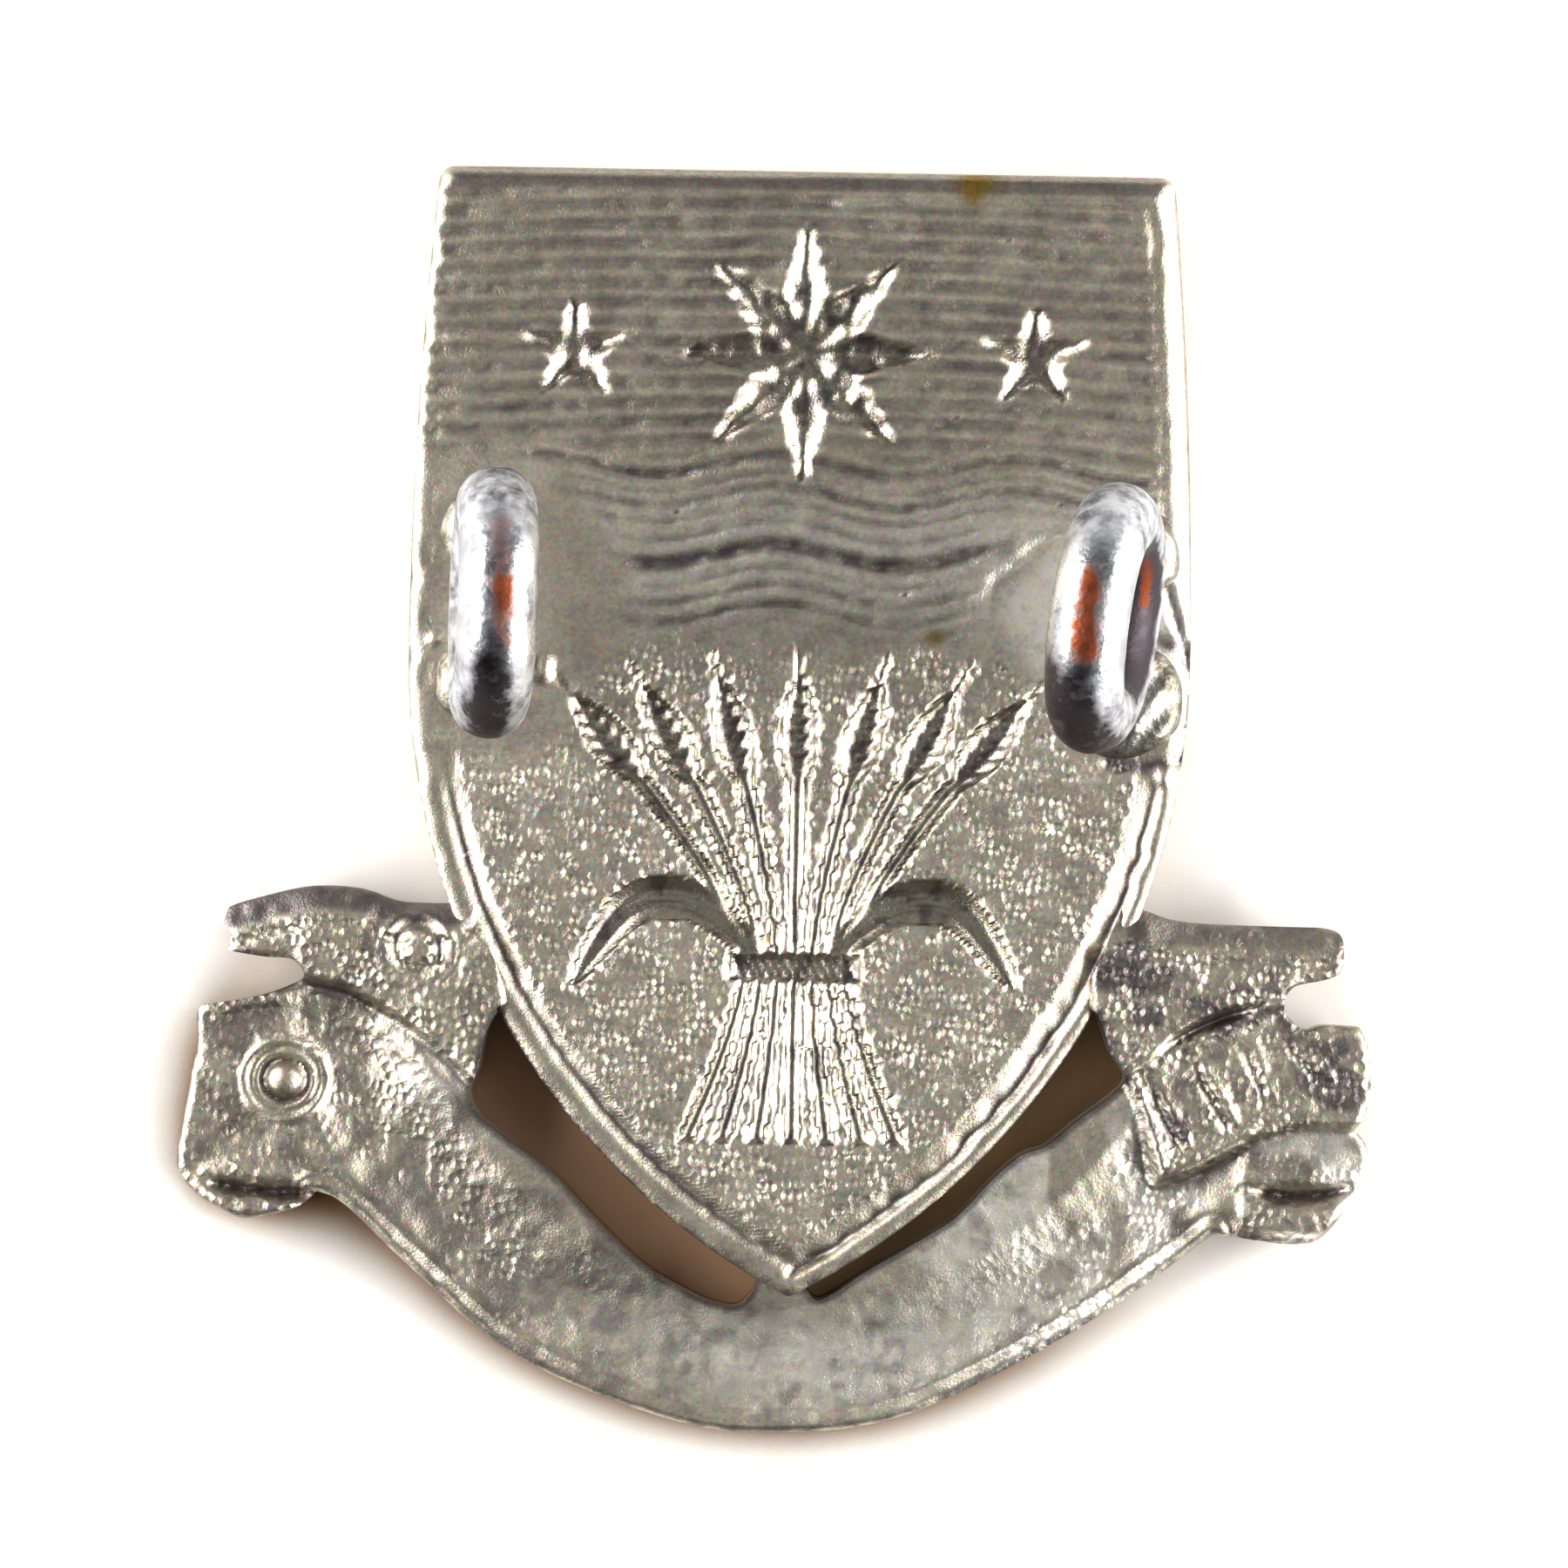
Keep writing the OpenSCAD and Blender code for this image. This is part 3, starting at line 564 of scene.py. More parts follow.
sheaf = {
    "waistY": -4.5,
    "up": 5.2,
    "down": 4.8,
    "side": 3,
    "spread": 4.4,
    "waist": 1.35,
    "foot": 2.9,
    "stalk": 0.5,
    "earLength": 3.0,
    "earWidth": 1.1,
    "tie": 0.8,
}


# Sideways place of a stalk at a height from the tie, and its slant there
def stalkPlace(share, rise):
    up = rise > 0
    reach = np.where(up, sheaf["spread"], sheaf["foot"]) - sheaf["waist"]
    length = np.where(up, sheaf["up"], sheaf["down"])
    t = np.abs(rise) / length
    slope = share * reach * 1.4 * np.maximum(t, 1e-6) ** 0.4 / length * np.where(up, 1, -1)
    return share * (sheaf["waist"] + reach * t ** 1.4), slope


# One ear of grain: a pointed oval of slanting kernels on both sides of its rib, and a beard
def earDepth(x, y, share):
    atX, slope = stalkPlace(share, np.array(sheaf["up"]))
    slant = math.atan(float(slope))
    dx, dy = x - middleX - float(atX), y - sheaf["waistY"] - sheaf["up"]
    along = dx * math.sin(slant) + dy * math.cos(slant)
    across = dx * math.cos(slant) - dy * math.sin(slant)
    t = np.clip((along + 0.2) / sheaf["earLength"], 0, 1)
    half = sheaf["earWidth"] / 2 * np.sin(math.pi * t ** 0.8) ** 0.75
    body = np.clip(1 - np.abs(across) / (half + 1e-3), 0, 1) ** 0.5
    rows = 0.5 + 0.5 * np.cos(2 * math.pi * (along / 0.46 - np.abs(across) / 0.5 + 0.25 * (across > 0)))
    rib = bell(across, 0, 0.07)
    beard = bell(across, 0, 0.06) * hump(-0.4, 1.1, along - sheaf["earLength"] + 0.2)
    return np.maximum(body * (0.55 + 0.45 * rows) * (1 - 0.4 * rib), 0.35 * beard)


# Depth of the wheatsheaf: fanned stalks with ears, two leaves and a twisted tie
def sheafDepth(x, y):
    dx, rise = x - middleX, y - sheaf["waistY"]
    depth = np.zeros(x.shape)
    within = smooth(-sheaf["down"] - 0.05, -sheaf["down"] + 0.1, rise) * (rise < sheaf["up"])
    side = sheaf["side"]
    for k in range(-side, side + 1):
        place, slope = stalkPlace(k / side, rise)
        gap = np.abs(dx - place) / np.sqrt(1 + slope ** 2)
        half = sheaf["stalk"] / 2 * (0.6 + 0.4 * np.abs(rise) / sheaf["up"])
        depth = np.maximum(depth, 0.55 * domed(gap / half) * within)
        depth = np.maximum(depth, earDepth(x, y, k / side))
    for way in (-1, 1):
        route = curve([[way * 0.9, 0.2], [way * 2.7, 1.7], [way * 4.5, 1.6], [way * 6.0, -0.4]], 8)
        gap, t = distanceTo(dx, rise, route)
        half = 0.12 + 0.5 * np.sin(math.pi * np.clip(t, 0, 1)) ** 0.8
        leaf = np.clip(1 - gap / half, 0, 1)
        depth = np.maximum(depth, 0.8 * leaf ** 0.6 * (1 - 0.5 * bell(gap, 0, 0.08)))
    half = sheaf["waist"] + sheaf["stalk"]
    tie = smooth(0, 0.15, half - np.abs(dx)) * smooth(0, 0.12, sheaf["tie"] / 2 - np.abs(rise))
    twist = 0.75 + 0.25 * np.cos(2 * math.pi * (dx / 0.5 + rise / 0.8))
    return np.where(tie > 0.02, np.maximum(depth * (1 - tie), 0.85 * tie * twist), depth)


lugs = {
    "wire": 2.2,
    "ring": 7.4,            # outer diameter
    "sunk": 0.15,           # depth by which the ring reaches into the back
    "seat": 0.1,            # depth of its flat foot
    "thinner": (0.04, 0.02),    # how much thinner the wire is drawn all round, and at the crown
    "steps": (96, 48),      # points round the ring and round the wire
    # Foot, lean and turn. The worn strip's place round the wire, its width, where it begins and ends along
    # the ring, and where it is strongest. How far the painted shade spreads east, and where it ends in the
    # west
    "left": {"at": (-8.1, 5.25), "lean": 6.0, "turn": -1.0, "strip": 1.46, "stripWidth": 0.4,
             "worn": (0.42, 0.62), "bare": (0.47, 0.54), "spread": 0.15, "west": 2.2},
    "right": {"at": (9.4, 5.0), "lean": -12.5, "turn": -7.5, "strip": 1.5, "stripWidth": 0.44,
              "worn": (0.415, 0.58), "bare": (0.43, 0.56), "spread": 0.75, "west": 3.7},
}

plain = {
    "left": {"middle": (-8.4, 5.2), "half": (4.3, 4.6)},
    "right": {"middle": (9.5, 5.0), "half": (4.1, 2.75)},
    # Drops of solder on the back: place, half sizes and height
    "drops": [((-6.5, 3.6), (0.27, 0.46), 0.2), ((-9.46, 4.34), (0.2, 0.2), 0.14),
              ((10.45, 1.0), (0.2, 0.36), 0.12)],
    # Creases by the right lug, darkened with painted shade: points, half width and depth
    "creases": [([(9.3, 4.85), (10.1, 4.75), (11.0, 4.15)], 0.2, 0.16),
                ([(10.55, 6.1), (10.8, 5.2), (11.0, 4.5)], 0.14, 0.1),
                ([(11.05, 4.3), (11.15, 3.0), (11.0, 1.3)], 0.22, 0.14),
                ([(9.0, 1.25), (9.9, 1.15), (10.8, 1.35)], 0.2, 0.12)],
    # Olive tarnish at the top edge and rust by the right lug: place and half sizes
    "stains": [((5.15, 17.05), (0.55, 0.3)), ((5.0, 16.75), (0.25, 0.4)), ((4.2, 4.6), (0.25, 0.2))],
}


# Distance from the middle of the plain back round a lug, 1 at its edge
def landShare(x, y, key):
    (mx, my), (hx, hy) = plain[key]["middle"], plain[key]["half"]
    return np.hypot((x - mx) / hx, (y - my) / hy) + 0.08 * softNoise(x, y, 1.1, 11)


# How far the rim lies under the back: a broken lip at the left, a soft one along the top, a turned edge at
# the right down to the lug, and the groove behind the border lower down
def rimDepth(x, y, inset):
    low = smooth(1.6, -0.6, y)
    right = smooth(-1, 1, x - middleX) * smooth(0.15, 0.6, shield["top"] - y)
    wander = 1 + 0.35 * softNoise(x, y, 1.4, 41) + 0.3 * softNoise(x, y, 0.4, 42)
    broken = smooth(-0.15, 0.55, softNoise(0 * x + 3, y, 0.55, 43) + 0.4 * softNoise(0 * x, y, 1.7, 44))
    dashes = smooth(0.1, 0.5, softNoise(0 * x + 9, y, 0.4, 45))
    lip = (0.05 + 0.13 * broken) * smooth(0.34, 0.0, inset) + 0.06 * dashes * hump(0.32, 0.6, inset)
    width = 0.6 * smooth(4.2, 6.2, y) + 0.05 * softNoise(0 * x, y, 0.5, 46)
    turned = 0.58 * np.maximum(width - inset, 0) + 0.12 * wander * hump(width - 0.04, width + 0.28, inset)
    turned += 0.06 * smooth(5.0, 4.3, y) * smooth(0.4, 0.0, inset)
    leftGroove = 0.22 * wander * hump(0.55, 1.15, inset) + 0.07 * wander * broken * smooth(0.3, 0.0, inset)
    shaken = inset + 0.07 * softNoise(x, y, 0.45, 47)
    rightGroove = 0.32 * wander * smooth(0.42, 0.56, shaken) * np.clip((1.12 - shaken) / 0.56, 0, 1)
    rightGroove += 0.04 * wander * smooth(0.2, 0.0, inset)
    groove = np.where(x < middleX, leftGroove, rightGroove)
    return low * groove + (1 - low) * (right * turned + (1 - right) * lip)


# The shield: stars and hatching in the chief, waves, and a wheatsheaf on a punched ground
def shieldPiece(material):
    half = shield["halfWidth"]
    x, y = gridOver((middleX - half, shield["tip"]), (middleX + half, shield["top"]), shield["grid"])
    inset = shieldInset(x, y)
    landLeft, landRight = landShare(x, y, "left"), landShare(x, y, "right")
    land = np.maximum(1 - smooth(0.78, 1.05, landLeft), 1 - smooth(0.94, 1.0, landRight))

    stars, lines = chiefRelief(x, y)
    grain = sheafDepth(x, y)
    inField = smooth(shield["border"] + 0.05, shield["border"] + 0.3, inset)
    side = 0.15 + 0.7 * smooth(0, 1, x - middleX)
    lines *= smooth(side, side + 0.2, inset) * smooth(0.45, 0.6, shield["top"] - y)
    lines *= smooth(0.78, 1.15, landLeft) * smooth(0.95, 1.3, landRight)
    lines *= np.where(grain > 0.02, 0, 1) * smooth(-5.2, -4.6, y - chief["bottom"])

    dish = 0.07 * smooth(1.1, 4.5, inset)
    uneven = 0.02 * softNoise(x, y, 2.3, 5) + 0.009 * softNoise(x, y, 0.7, 6)
    uneven += 0.006 * softNoise(x, y, 0.3, 7)
    back = heights["back"] - rimDepth(x, y, inset) - dish * inField + uneven * smooth(0.3, 1.2, inset)
    arc = bell(landRight, 0.98, 0.045) * smooth(8.2, 7.2, x) * smooth(5.0, 6.0, y)
    back += 0.14 * arc * (0.6 + 0.4 * softNoise(x, y, 0.3, 13))
    scratched = 0.06 * softNoise(3 * x, y, 0.5, 14) + 0.05 * softNoise(x, y, 0.22, 15)
    back -= inField * (0.6 * stars + 0.55 * grain) + lines
    back -= scratched * smooth(0.05, 0.2, stars) * inField
    creaseShade = 0 * x
    for points, reach, deep in plain["creases"]:
        near = bell(distanceTo(x, y, curve(points))[0], 0, reach)
        back -= deep * near
        creaseShade = np.maximum(creaseShade, near)
    for (px, py), (hx, hy), rise in plain["drops"]:
        back += rise * domed(np.hypot((x - px) / hx, (y - py) / hy))
    back -= 0.1 * smooth(0.16, 0.0, inset) ** 2
    back = np.minimum(blurred(back, 0.7), plateHigh[2] - 0.01)

    frontLift = smooth(shield["border"] + 0.1, shield["border"] - 0.12, inset)
    frontLift *= 0.82 + 0.18 * hump(0, 1.0, inset)
    charges = 0.95 * stars + 0.9 * grain
    front = heights["field"] * (1 - np.maximum(frontLift, charges * inField))
    front -= np.where(charges * inField > 0.02, 0, lines * inField) * 1.6
    front += 0.1 * smooth(0.14, 0.0, inset)
    front = np.clip(front, 0.0, back - heights["thinnest"])

    charge = smooth(0.02, 0.12, charges) * inField
    # Darker with grime and painted shade in recesses, in the hatch and wave grooves and along the creases,
    # and in a strip along the top edge
    hollow = np.clip((blurred(back, 4) - back) / 0.14, 0, 1) * (1 - 0.75 * charge)
    topStrip = 0.75 * smooth(0.62, 0.45, shield["top"] - y) * smooth(0.1, 0.4, inset + 0.1)
    punched = inField * (1 - land) * smooth(4.6, 3.7, y + 0.5 * softNoise(x, y, 1.3, 8)) * (1 - charge)
    hollow = np.maximum.reduce([0.8 * hollow, np.clip(lines / 0.19, 0, 1) * (1 - charge), creaseShade, topStrip])
    # Grime on the charges, and along the rim over the gaps
    specks = softNoise(x, y, 0.4, 17) + 0.5 * softNoise(x, y, 0.2, 18)
    rimGrime = smooth(0.3, 0.1, inset) * smooth(-3, -6, y) * smooth(-0.5, 0.5, specks)
    hollow = np.maximum.reduce([hollow, 0.8 * charge * smooth(0.0, 0.7, specks), 0.8 * rimGrime])
    # Painted sheen: the plain round the right lug, the ridges between the wave lines and, faintly, the
    # punched ground are lightened
    bright = 0.8 * (1 - smooth(0.7, 1.05, landRight)) + 0.6 * hump(3.6, 9.8, y) * (1 - hollow) * (1 - land)
    bright = np.maximum(bright, 0.1 * punched)
    stain = sum(bell(x, px, hx) * bell(y, py, hy) for (px, py), (hx, hy) in plain["stains"])
    fields = {"hollow": hollow, "punched": punched, "charge": charge, "stain": np.clip(stain, 0, 0.9),
              "bright": np.clip(bright, 0, 1)}
    mesh = sheetMesh("badge_shield", x, y, -inset, back, front, fields)
    newPiece("badge_shield", mesh, material, ["badge_plate"])


ribbon = {
    "centre": (0.5, -2.47),
    "middleR": 12.75,
    "halfWidth": 1.75,
    "troughDepth": 0.42,
    "under": 0.55,          # how far it reaches under the shield's edge
    "top": -2.2,
    "grid": (0.08, 0.08),
    "boss": (-13.4, -7.8),
    "knob": (-9.8, -4.1),   # near the left tail's root
    # Rolled corners: where each begins and ends, and how far its middle sags
    "curls": [((-15.9, -10.5), (-12.2, -10.85), 0.12), ((12.7, -10.2), (16.1, -10.15), 0.3)],
    # Pleats pressed into the right fold: place, lean, half length and depth
    "pleats": [((10.75, -8.5), 28, 0.9, 0.2), ((12.0, -7.9), 30, 1.0, 0.22), ((13.2, -7.3), 22, 0.8, 0.12),
               ((14.6, -7.0), 45, 0.7, 0.14)],
}


# A rolled corner: a leaf, a slit and a roll side by side along a line that sags in its middle
def curlHeight(x, y, start, end, sag):
    (ax, ay), (bx, by) = start, end
    length = math.hypot(bx - ax, by - ay)
    ux, uy = (bx - ax) / length, (by - ay) / length
    t = ((x - ax) * ux + (y - ay) * uy) / length
    v = -(x - ax) * uy + (y - ay) * ux + sag * np.sin(math.pi * np.clip(t, 0, 1))
    ends = np.sin(math.pi * np.clip(t, 0, 1)) ** 0.6
    roll = domed((v + 0.62) / 0.55) * ends
    leaf = hump(-0.12, 1.0, v / (ends + 0.05)) * ends
    slit = bell(v, -0.08, 0.13) * smooth(0.08, 0.3, t) * smooth(0.98, 0.8, t)
    return 0.32 * roll + 0.2 * leaf - 0.4 * slit


# The ribbon: a long trough with a lip, tails, a ringed boss, a pleated fold and rolled corners
def scrollPiece(material):
    x, y = gridOver(plateLow, (plateHigh[0], ribbon["top"]), ribbon["grid"])
    outer = signedDistance(x, y, scrollOutline)
    inset = shieldInset(x, y)
    gaps = np.minimum(signedDistance(x, y, leftSlot), signedDistance(x, y, rightSlot))
    edge = np.minimum(-outer, gaps)
    distance = np.maximum(-edge, inset - ribbon["under"])

    leftTail = signedDistance(x, y, leftTailArea)
    rightTail = signedDistance(x, y, rightTailArea)
    fold = signedDistance(x, y, rightFoldArea)
    isTail = np.maximum(smooth(0.3, -0.1, leftTail), smooth(0.2, -0.1, rightTail))
    isFold = smooth(0.12, -0.12, fold) * (1 - isTail)
    isPanel = (1 - isTail) * (1 - isFold)

    r = np.hypot(x - ribbon["centre"][0], y - ribbon["centre"][1])
    u = np.clip((r - ribbon["middleR"]) / ribbon["halfWidth"], -1, 1)
    bow = (1 - u * u) ** 1.3
    panel = heights["ribbonBack"] - ribbon["troughDepth"] * bow
    panel += 0.2 * bell(leftTail, 0.55, 0.4) * (x < 0)
    toLip = distanceTo(x, y, curve(lowerEdge))[0]
    panel += 0.06 * hump(0.0, 0.42, toLip) - 0.12 * hump(0.36, 0.66, toLip)
    panel += 0.03 * softNoise(x, y, 1.7, 21) + 0.018 * softNoise(x, y, 0.5, 22)
    panel += 0.007 * softNoise(x, y, 0.22, 24)
    # Swelling where the ribbon comes out from behind its left fold
    panel += 0.2 * bell(x, -9.9, 0.9) * bell(y, -7.7, 1.2)
    panel += (x < -3) * 0.02 * softNoise(x, y, 0.35, 27)
    panel += smooth(-4, 0, x) * 0.012 * softNoise(2 * x + y, 0.5 * y - 0.3 * x, 0.45, 28)

    bx, by = ribbon["boss"]
    fromBoss = np.hypot(x - bx, (y - by) * 1.05)
    rings = hump(0.95, 1.3, fromBoss) + 0.8 * hump(0.62, 0.9, fromBoss)
    knop = domed(fromBoss / 0.55)
    panel += 0.16 * rings + 0.3 * knop - 0.14 * hump(0.4, 0.8, fromBoss)

    folded = heights["foldBack"] + 0.06 * softNoise(x, y, 0.8, 23)
    for (px, py), lean, half, deep in ribbon["pleats"]:
        slant = math.radians(lean)
        across = (x - px) * math.cos(slant) + (y - py) * math.sin(slant)
        along = -(x - px) * math.sin(slant) + (y - py) * math.cos(slant)
        reach = smooth(half + 0.2, half - 0.3, np.abs(along))
        folded += reach * deep * (0.6 * bell(across, 0.22, 0.17) - bell(across, 0, 0.11))
    folded += 0.12 * bell(fold, -0.28, 0.16) - 0.16 * bell(fold, -0.02, 0.12)

    toTop = np.minimum(distanceTo(x, y, curve(tailTopLeft))[0], distanceTo(x, y, curve(tailTopRight))[0])
    tail = heights["tailBack"] - 0.05 - 0.34 * smooth(0.95, 0.0, toTop) - 0.12 * hump(0.85, 1.2, toTop)
    tail += 0.07 * softNoise(x, y, 0.9, 25) + 0.035 * softNoise(x, y, 0.35, 26)
    # The knob with a ring round it
    fromKnob = np.hypot(x - ribbon["knob"][0], y - ribbon["knob"][1])
    tail += 0.2 * smooth(0.45, 0.1, fromKnob) - 0.14 * hump(0.35, 0.85, fromKnob)
    tail += 0.1 * hump(0.75, 1.15, fromKnob)

    back = panel * isPanel + folded * isFold + tail * isTail
    back += sum(curlHeight(x, y, *curl) for curl in ribbon["curls"]) * (1 - isTail)
    back -= 0.12 * smooth(0.16, 0.0, edge) ** 2 * smooth(0.1, 0.3, gaps)
    back = np.minimum(blurred(back, 0.8), plateHigh[2] - 0.01)

    front = heights["ribbon"] - 0.4 * bow * isPanel
    front += (heights["field"] - heights["ribbon"]) * isTail
    front -= 0.18 * (rings * 0.6 + knop) * (1 - isTail)
    front += 0.12 * smooth(0.16, 0.0, edge) ** 2
    front = np.clip(blurred(front, 0.8), 0.01, back - heights["thinnest"])

    # Darker with grime and painted shade in recesses
    hollow = np.clip((blurred(back, 5) - back) / 0.14, 0, 1)
    # The ground is punched on the tails and the fold, and in patches on the ribbon's two arms
    patch = softNoise(x, y, 2.1, 31) + 0.5 * softNoise(x, y, 0.8, 32)
    rough = smooth(0.05, 0.35, patch + 0.45 * (x > 0)) * smooth(3.5, 5.0, np.abs(x)) * smooth(-16, -14.8, y)
    punched = np.maximum(isTail * smooth(0.6, 0.9, toTop), 0.9 * rough * bow ** 0.5)
    curls = smooth(-12.2, -12.8, x) * smooth(-9.4, -9.9, y) + smooth(12.4, 13.0, x) * smooth(-9.0, -9.6, y)
    ground = smooth(-11.6, -12.4, x) * smooth(1.1, 1.4, fromBoss) * (1 - isTail)
    punched = np.maximum.reduce([punched, 0.8 * isFold, 0.7 * curls * (1 - isFold), 0.6 * ground])
    none = np.zeros(x.shape)
    # Painted sheen: the bottom of the trough and the swelling by the left fold are lightened
    bottom = bell(x, 2.2, 6.2) * bow ** 0.5 * smooth(-9.8, -13.2, y)
    swollen = bell(x, -9.2, 0.7) * bell(y, -8.0, 0.9)
    strip = isTail * smooth(0.75, 0.5, toTop) * np.where(x < 0, 0.9, 0.55)
    shadow = 0.9 * (1 - isTail) * smooth(0.85, 0.15, leftTail)
    shadow *= smooth(-14.6, -14.0, x) * smooth(-10.6, -11.4, x)
    # Grime on the left arm, the right tail and the fold, and along the edges
    specks = softNoise(x, y, 1.1, 33) + 0.6 * softNoise(x, y, 0.4, 34)
    soiled = np.maximum(0.55 * smooth(-1, -5, x) * (1 - isTail), 0.9 * np.maximum(isFold, isTail * (x > 0)))
    soiled *= smooth(-0.1, 0.6, specks)
    soiled = np.maximum(soiled, 0.8 * smooth(0.24, 0.05, edge) * smooth(-0.7, 0.3, specks))
    gapWall = 0.9 * smooth(0.22, 0.06, gaps)
    mottle = 0.55 * smooth(0.0, 0.8, softNoise(x, y, 0.7, 36) + 0.5 * softNoise(x, y, 0.25, 37))
    hollow = np.maximum.reduce([0.8 * hollow, strip, shadow, soiled, gapWall, mottle])
    # Painted highlight on the right arm
    arm = 0.9 * rough * (x > 2) * isPanel
    fields = {"hollow": hollow, "punched": punched * (1 - bottom), "charge": none, "stain": none,
              "bright": np.maximum.reduce([bottom, swollen, arm])}
    mesh = sheetMesh("badge_scroll", x, y, distance, back, front, fields)
    newPiece("badge_scroll", mesh, material, ["badge_plate"])


# A closed ring of wire in the YZ plane. s runs round the ring from its foot up the south side and is 0.5 at
# the crown. angle runs round the wire from east, with a quarter turn at the outside.
def ringMesh(name, place, radius, fields):
    count, around = lugs["steps"]
    s = np.arange(count)[:, None] / count
    angle = 2 * math.pi * np.arange(around)[None, :] / around
    r = radius(s, angle)
    away = (lugs["ring"] - lugs["wire"]) / 2 + r * np.sin(angle)
    x = r * np.cos(angle)
    y = -away * np.sin(2 * math.pi * s)
    z = lugs["ring"] / 2 - lugs["sunk"] - away * np.cos(2 * math.pi * s)
    points = np.stack([x, y, z], -1).reshape(-1, 3) @ place[:3, :3].T + place[:3, 3]
    # The foot is flat where it stands in the plate's back
    points[:, 2] = np.maximum(points[:, 2], heights["back"] - lugs["seat"])
    i, j = np.indices((count, around))
    ahead, beside = (i + 1) % count, (j + 1) % around
    faces = np.stack([i * around + j, ahead * around + j, ahead * around + beside, i * around + beside], -1)
    values = {key: (f(s, angle) + 0 * x).ravel() for key, f in fields.items()}
    return meshOf(name, points, faces.reshape(-1, 4).tolist(), values)


# Where a lug stands: turned about the upright and leaning inward
def lugPlace(key):
    pose = lugs[key]
    at = Matrix.Translation((*pose["at"], heights["back"]))
    turn = Matrix.Rotation(math.radians(pose["turn"]), 4, "Z")
    lean = Matrix.Rotation(math.radians(pose["lean"]), 4, "Y")
    return np.array(at @ turn @ lean)


# A wire ring: a little uneven, its plating worn through along the crown, with painted shade and dark
# reflection to the south
def lugPiece(key, material):
    look = lugs[key]
    seed = {"left": 3, "right": 7}[key]

    def lumps(s, angle, size, shift):
        around, across = 2 * math.pi * s, 1.1 * np.cos(angle)
        return softNoise(3.4 * np.cos(around) + across, 3.4 * np.sin(around) + 1.1 * np.sin(angle), size,
                         seed + shift)

    def radius(s, angle):
        thin, more = lugs["thinner"]
        crown = bell(s, 0.5, 0.12) * np.clip(np.sin(angle), 0, 1) ** 2
        uneven = 0.01 * lumps(s, angle, 0.9, 0) + 0.004 * lumps(s, angle, 0.35, 1)
        return lugs["wire"] / 2 * (1 - thin + uneven - more * crown)

    def worn(s, angle):
        wander = 0.1 * lumps(s, angle, 0.5, 2)
        strip = bell(angle, look["strip"] + 1.6 * (s - 0.5) - wander, look["stripWidth"])
        light, strong = (smooth(start, start + 0.03, s) * smooth(end, end - 0.03, s)
                         for start, end in (look["worn"], look["bare"]))
        # A thin worn line low on the far side as well
        low = bell(angle, 5.45, 0.2) * smooth(0.76, 0.84, s) * smooth(0.98, 0.94, s)
        return strip * (0.6 * light + 0.4 * strong) + 0.75 * low * (key == "right")

    # Painted shade and dark reflection at the south end of the ring and on its low side
    def tarnishAndShade(s, angle):
        edge = 0.15 * lumps(s, angle, 0.6, 3)
        south = smooth(0.47, 0.41, s) * smooth(0.18, 0.27, s)
        start = 1.1 - look["spread"] * smooth(0.42, 0.28, s)
        south = south * smooth(start, start + 0.4, angle + edge)
        south = south * smooth(look["west"] + 0.35, look["west"] - 0.35, angle + edge)
        # The low side, seen past the crown, in painted shade
        low = smooth(0.24, 0.17, s) + smooth(0.7, 0.76, s)
        low = low * smooth(3.4, 3.9, angle) * smooth(6.15, 5.9, angle + edge)
        return np.maximum(0.9 * south, low * (key == "right"))

    def matt(s, angle):
        return np.maximum(smooth(0.55, 0.64, s) + smooth(0.45, 0.37, s), smooth(3.4, 3.9, angle))

    name = f"lug_{key}_wire"
    mesh = ringMesh(name, lugPlace(key), radius, {"worn": worn, "tarnishAndShade": tarnishAndShade, "matt": matt})
    newPiece(name, mesh, material, [f"lug_{key}"])


pools = {
    "height": 0.75,
    "sunk": 0.12,           # depth of its flat underside in the plate's back
    "steps": (72, 26),      # points round a pool, and rings of them
    # Middle from the lug's foot, reach to the east, north, west and south, and swelling
    "left_upper": {"off": (0.0, 2.0), "reach": (1.3, 1.35, 1.3, 1.3), "swell": 0, "seed": 1},
    "left_lower": {"off": (0.0, -2.0), "reach": (1.3, 1.35, 1.35, 1.35), "swell": 0, "seed": 2},
    "right_upper": {"off": (0.0, 2.0), "reach": (1.2, 1.35, 1.25, 1.3), "swell": 0, "seed": 3},
    "right_lower": {"off": (0.1, -1.9), "reach": (1.75, 1.5, 1.25, 1.75), "swell": 0.12, "seed": 4},
}


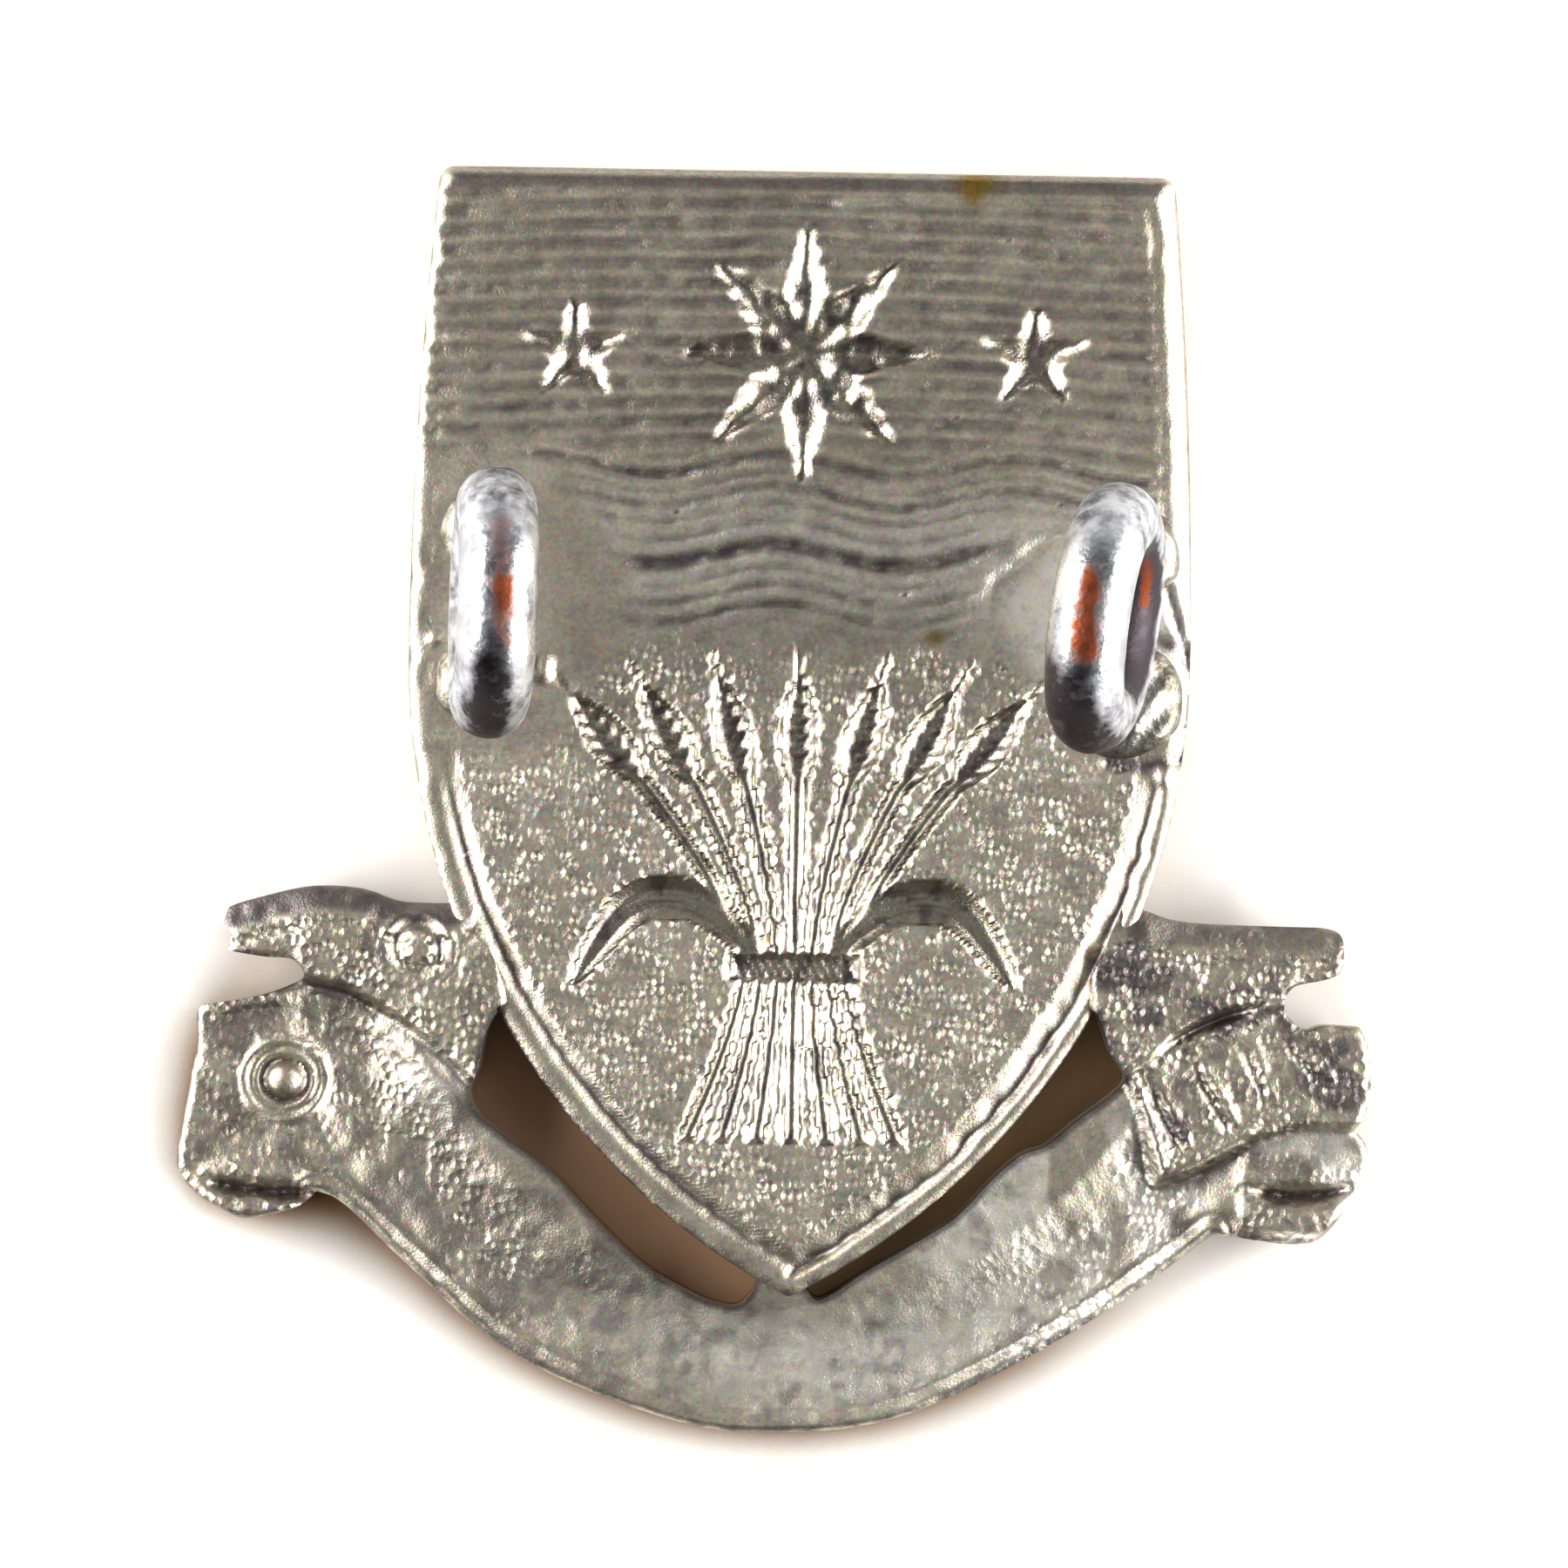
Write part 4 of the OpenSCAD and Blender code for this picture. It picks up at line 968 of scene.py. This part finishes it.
# A pool of solder under the ring: a low dome over its own outline, drawn up into ridges as it set
def solderPiece(key, material):
    side = key.split("_")[0]
    pose, pool = lugs[side], pools[key]
    turn = math.radians(pose["turn"])
    offX, offY = pool["off"]
    middle = np.array(pose["at"]) + [offX * math.cos(turn) - offY * math.sin(turn),
                                     offX * math.sin(turn) + offY * math.cos(turn)]
    around, rings = pools["steps"]
    angle = np.linspace(0, 2 * math.pi, around, endpoint=False)[None, :]
    t = np.linspace(0, 1, rings + 1)[1:, None]
    c, s = np.cos(angle), np.sin(angle)
    east, north, west, south = pool["reach"]
    reach = np.sqrt((np.where(c > 0, east, west) * c) ** 2 + (np.where(s > 0, north, south) * s) ** 2)
    reach += 0.07 * softNoise(3 * c, 3 * s, 1.3, 40 + pool["seed"])
    limit = middleX + shield["halfWidth"] - 0.12
    px = np.clip(middle[0] + c * reach * t, 2 * middleX - limit, limit)
    py = middle[1] + s * reach * t
    dome = domed(t ** 1.2)
    along = (px - middle[0]) * 0.8 - (py - middle[1]) * 0.6
    ridges = np.sin(2 * math.pi * along / 0.75 + 2.2 * softNoise(px, py, 0.9, 50 + pool["seed"]))
    lumps = softNoise(px, py, 0.45, 60 + pool["seed"])
    pz = heights["back"] - 0.04 + (pools["height"] - 0.1) * dome
    pz = pz + pool["swell"] * dome * (0.3 + 0.5 * ridges) + 0.06 * lumps * dome
    top = np.stack([px, py, pz], -1).reshape(-1, 3)
    under = heights["back"] - pools["sunk"]
    base = top[-around:] * [1, 1, 0] + [0, 0, under]
    points = np.vstack([top, base, [[*middle, under], [*middle, pz[0].mean()]]])
    i, j = np.indices((rings, around))
    k = (j + 1) % around
    sides = np.stack([(i + 1) * around + j, (i + 1) * around + k, i * around + k, i * around + j], -1)
    j = np.arange(around)
    k = (j + 1) % around
    last = (rings + 1) * around
    lowFan = np.stack([last + 0 * j, rings * around + k, rings * around + j], -1)
    topFan = np.stack([last + 1 + 0 * j, j, k], -1)
    faces = sides.reshape(-1, 4).tolist() + lowFan.tolist() + topFan.tolist()
    mesh = meshOf(f"solder_{key}_pool", points, faces)
    newPiece(f"solder_{key}_pool", mesh, material, [f"solder_{key}"])


stage = {
    "floorSize": 900.0,
    "floor": "#f4f2ee",
    "shade": "#6f5231",     # painted shadow on the paper close under the badge, strongest at the lower left
    "gaps": ("#8a6c54", "#a38562"),     # painted shade on the paper seen through the left and the right gap
    "gapLift": 0.004,       # height of that paper over the floor
    "viewHeight": 150.0,    # camera over the plate's back
    "viewWidth": 42.857,    # width of the picture at that height
    "viewCentre": (0.13, 0.53),
    "roll": 1.0,
    "skyColour": "#f2f3f5",
    # Sky strength along Y: where each change begins and ends (-1 is the foot's side), and its two values
    "sky": [("MULTIPLY", (-0.55, -0.15, 0.35, 1.0)), ("MULTIPLY", (0.15, 0.5, 1.0, 0.5)),
            ("ADD", (0.75, 0.95, 0.0, 0.5))],
    # Lamps: place, size and power
    "lamps": {"leftLamp": ((-200, 30, 105), (260, 90), 1.5), "rightLamp": ((205, -10, 85), (260, 90), 1.6)},
}


# Matt paper with a faint mottle, darkened with painted shadow where little light gets in
def paperMaterial(name, shade, light):
    material, tree, surface, place = newMaterial(name)
    free = addNode(tree, "AmbientOcclusion", {"Distance": 5 * mm}, samples=8).outputs["AO"]
    shut = ranged(tree, free, 0.55, 0.95, 1.0, 0.0)
    down = addNode(tree, "VectorMath", {0: place, 1: (-0.35, -1.0, 0.0)}, operation="DOT_PRODUCT")
    shut = maths(tree, "MULTIPLY", shut, ranged(tree, down.outputs["Value"], 7.0, 13.0, 0.35, 1.0))
    colour = mixed(tree, shut, light, shade)
    mottle = ranged(tree, noise(tree, place, 1.5, 3.0), 0.3, 0.7, 0.95, 1.0)
    colour = addNode(tree, "VectorMath", {0: colour, "Scale": mottle}, operation="SCALE").outputs[0]
    setInputs(tree, surface, {"Base Color": colour, "Roughness": 0.9, "Specular IOR Level": 0.1})
    return material


# A flat part of the stage
def stagePiece(name, points, material):
    mesh = meshOf(name, points, [list(range(len(points)))])
    mesh.materials.append(material)
    piece = placed(name, mesh)
    piece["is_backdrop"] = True


# White paper under the badge, with brown painted shade where it is seen through the gaps
def paperFloor():
    half = stage["floorSize"] / 2
    corners = [[-half, -half, 0], [half, -half, 0], [half, half, 0], [-half, half, 0]]
    stagePiece("paperFloor", corners, paperMaterial("whitePaper", stage["shade"], stage["floor"]))
    # The right slot's points run clockwise
    # Sheets of brown painted shade lie on the paper under the gaps
    for side, outline, colour in zip(("left", "right"), (leftSlot, rightSlot[::-1]), stage["gaps"]):
        points = np.column_stack([outline, np.full(len(outline), stage["gapLift"])])
        stagePiece(f"{side}GapPaintedShade", points, paperMaterial(f"{side}ShadedPaper", colour, colour))


# A soft white lamp at a place in mm that points at the badge
def lamp(name, place, size, power):
    data = bpy.data.lights.new(name, "AREA")
    data.shape = "RECTANGLE"
    data.size, data.size_y = size[0] * mm, size[1] * mm
    data.energy = power
    light = placed(name, data)
    light.location = [p * mm for p in place]
    light.rotation_euler = (-light.location).to_track_quat("-Z", "Y").to_euler()


# Grey light, bright from the two sides, dim from the top and dark from the foot
def skyLight():
    world = bpy.data.worlds.new("sky")
    bpy.context.scene.world = world
    world.use_nodes = True
    tree = world.node_tree
    way = addNode(tree, "TexCoord").outputs["Generated"]
    parts = addNode(tree, "SeparateXYZ", {0: way})
    sideways = maths(tree, "ABSOLUTE", parts.outputs["X"], 0.0)
    level = ranged(tree, sideways, 0.35, 0.85, 0.3, 1.1)
    for operation, limits in stage["sky"]:
        level = maths(tree, operation, level, ranged(tree, parts.outputs["Y"], *limits))
    setInputs(tree, tree.nodes["Background"], {"Strength": level, "Color": stage["skyColour"]})


# Straight down on the badge, as in the photograph
def camera():
    data = bpy.data.cameras.new("camera")
    data.sensor_width = 36
    data.angle = 2 * math.atan(stage["viewWidth"] / 2 / stage["viewHeight"])
    data.clip_start = 0.005
    data.clip_end = 5
    view = placed("camera", data)
    view.location = [v * mm for v in (*stage["viewCentre"], heights["back"] + stage["viewHeight"])]
    view.rotation_euler = (0, 0, math.radians(stage["roll"]))
    bpy.context.scene.camera = view


camera()
metal = struckMetalMaterial()
shieldPiece(metal)
scrollPiece(metal)
print("plate made")

wire = platedWireMaterial()
solder = solderMaterial()
for side in ("left", "right"):
    lugPiece(side, wire)
    for end in ("upper", "lower"):
        solderPiece(f"{side}_{end}", solder)
print("lugs and solder made")

paperFloor()
skyLight()
for name, settings in stage["lamps"].items():
    lamp(name, *settings)
bpy.context.scene.view_settings.view_transform = "Standard"
print("stage made")

[[list(corner) for corner in box] for box in (boundsAtLoad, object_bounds())]
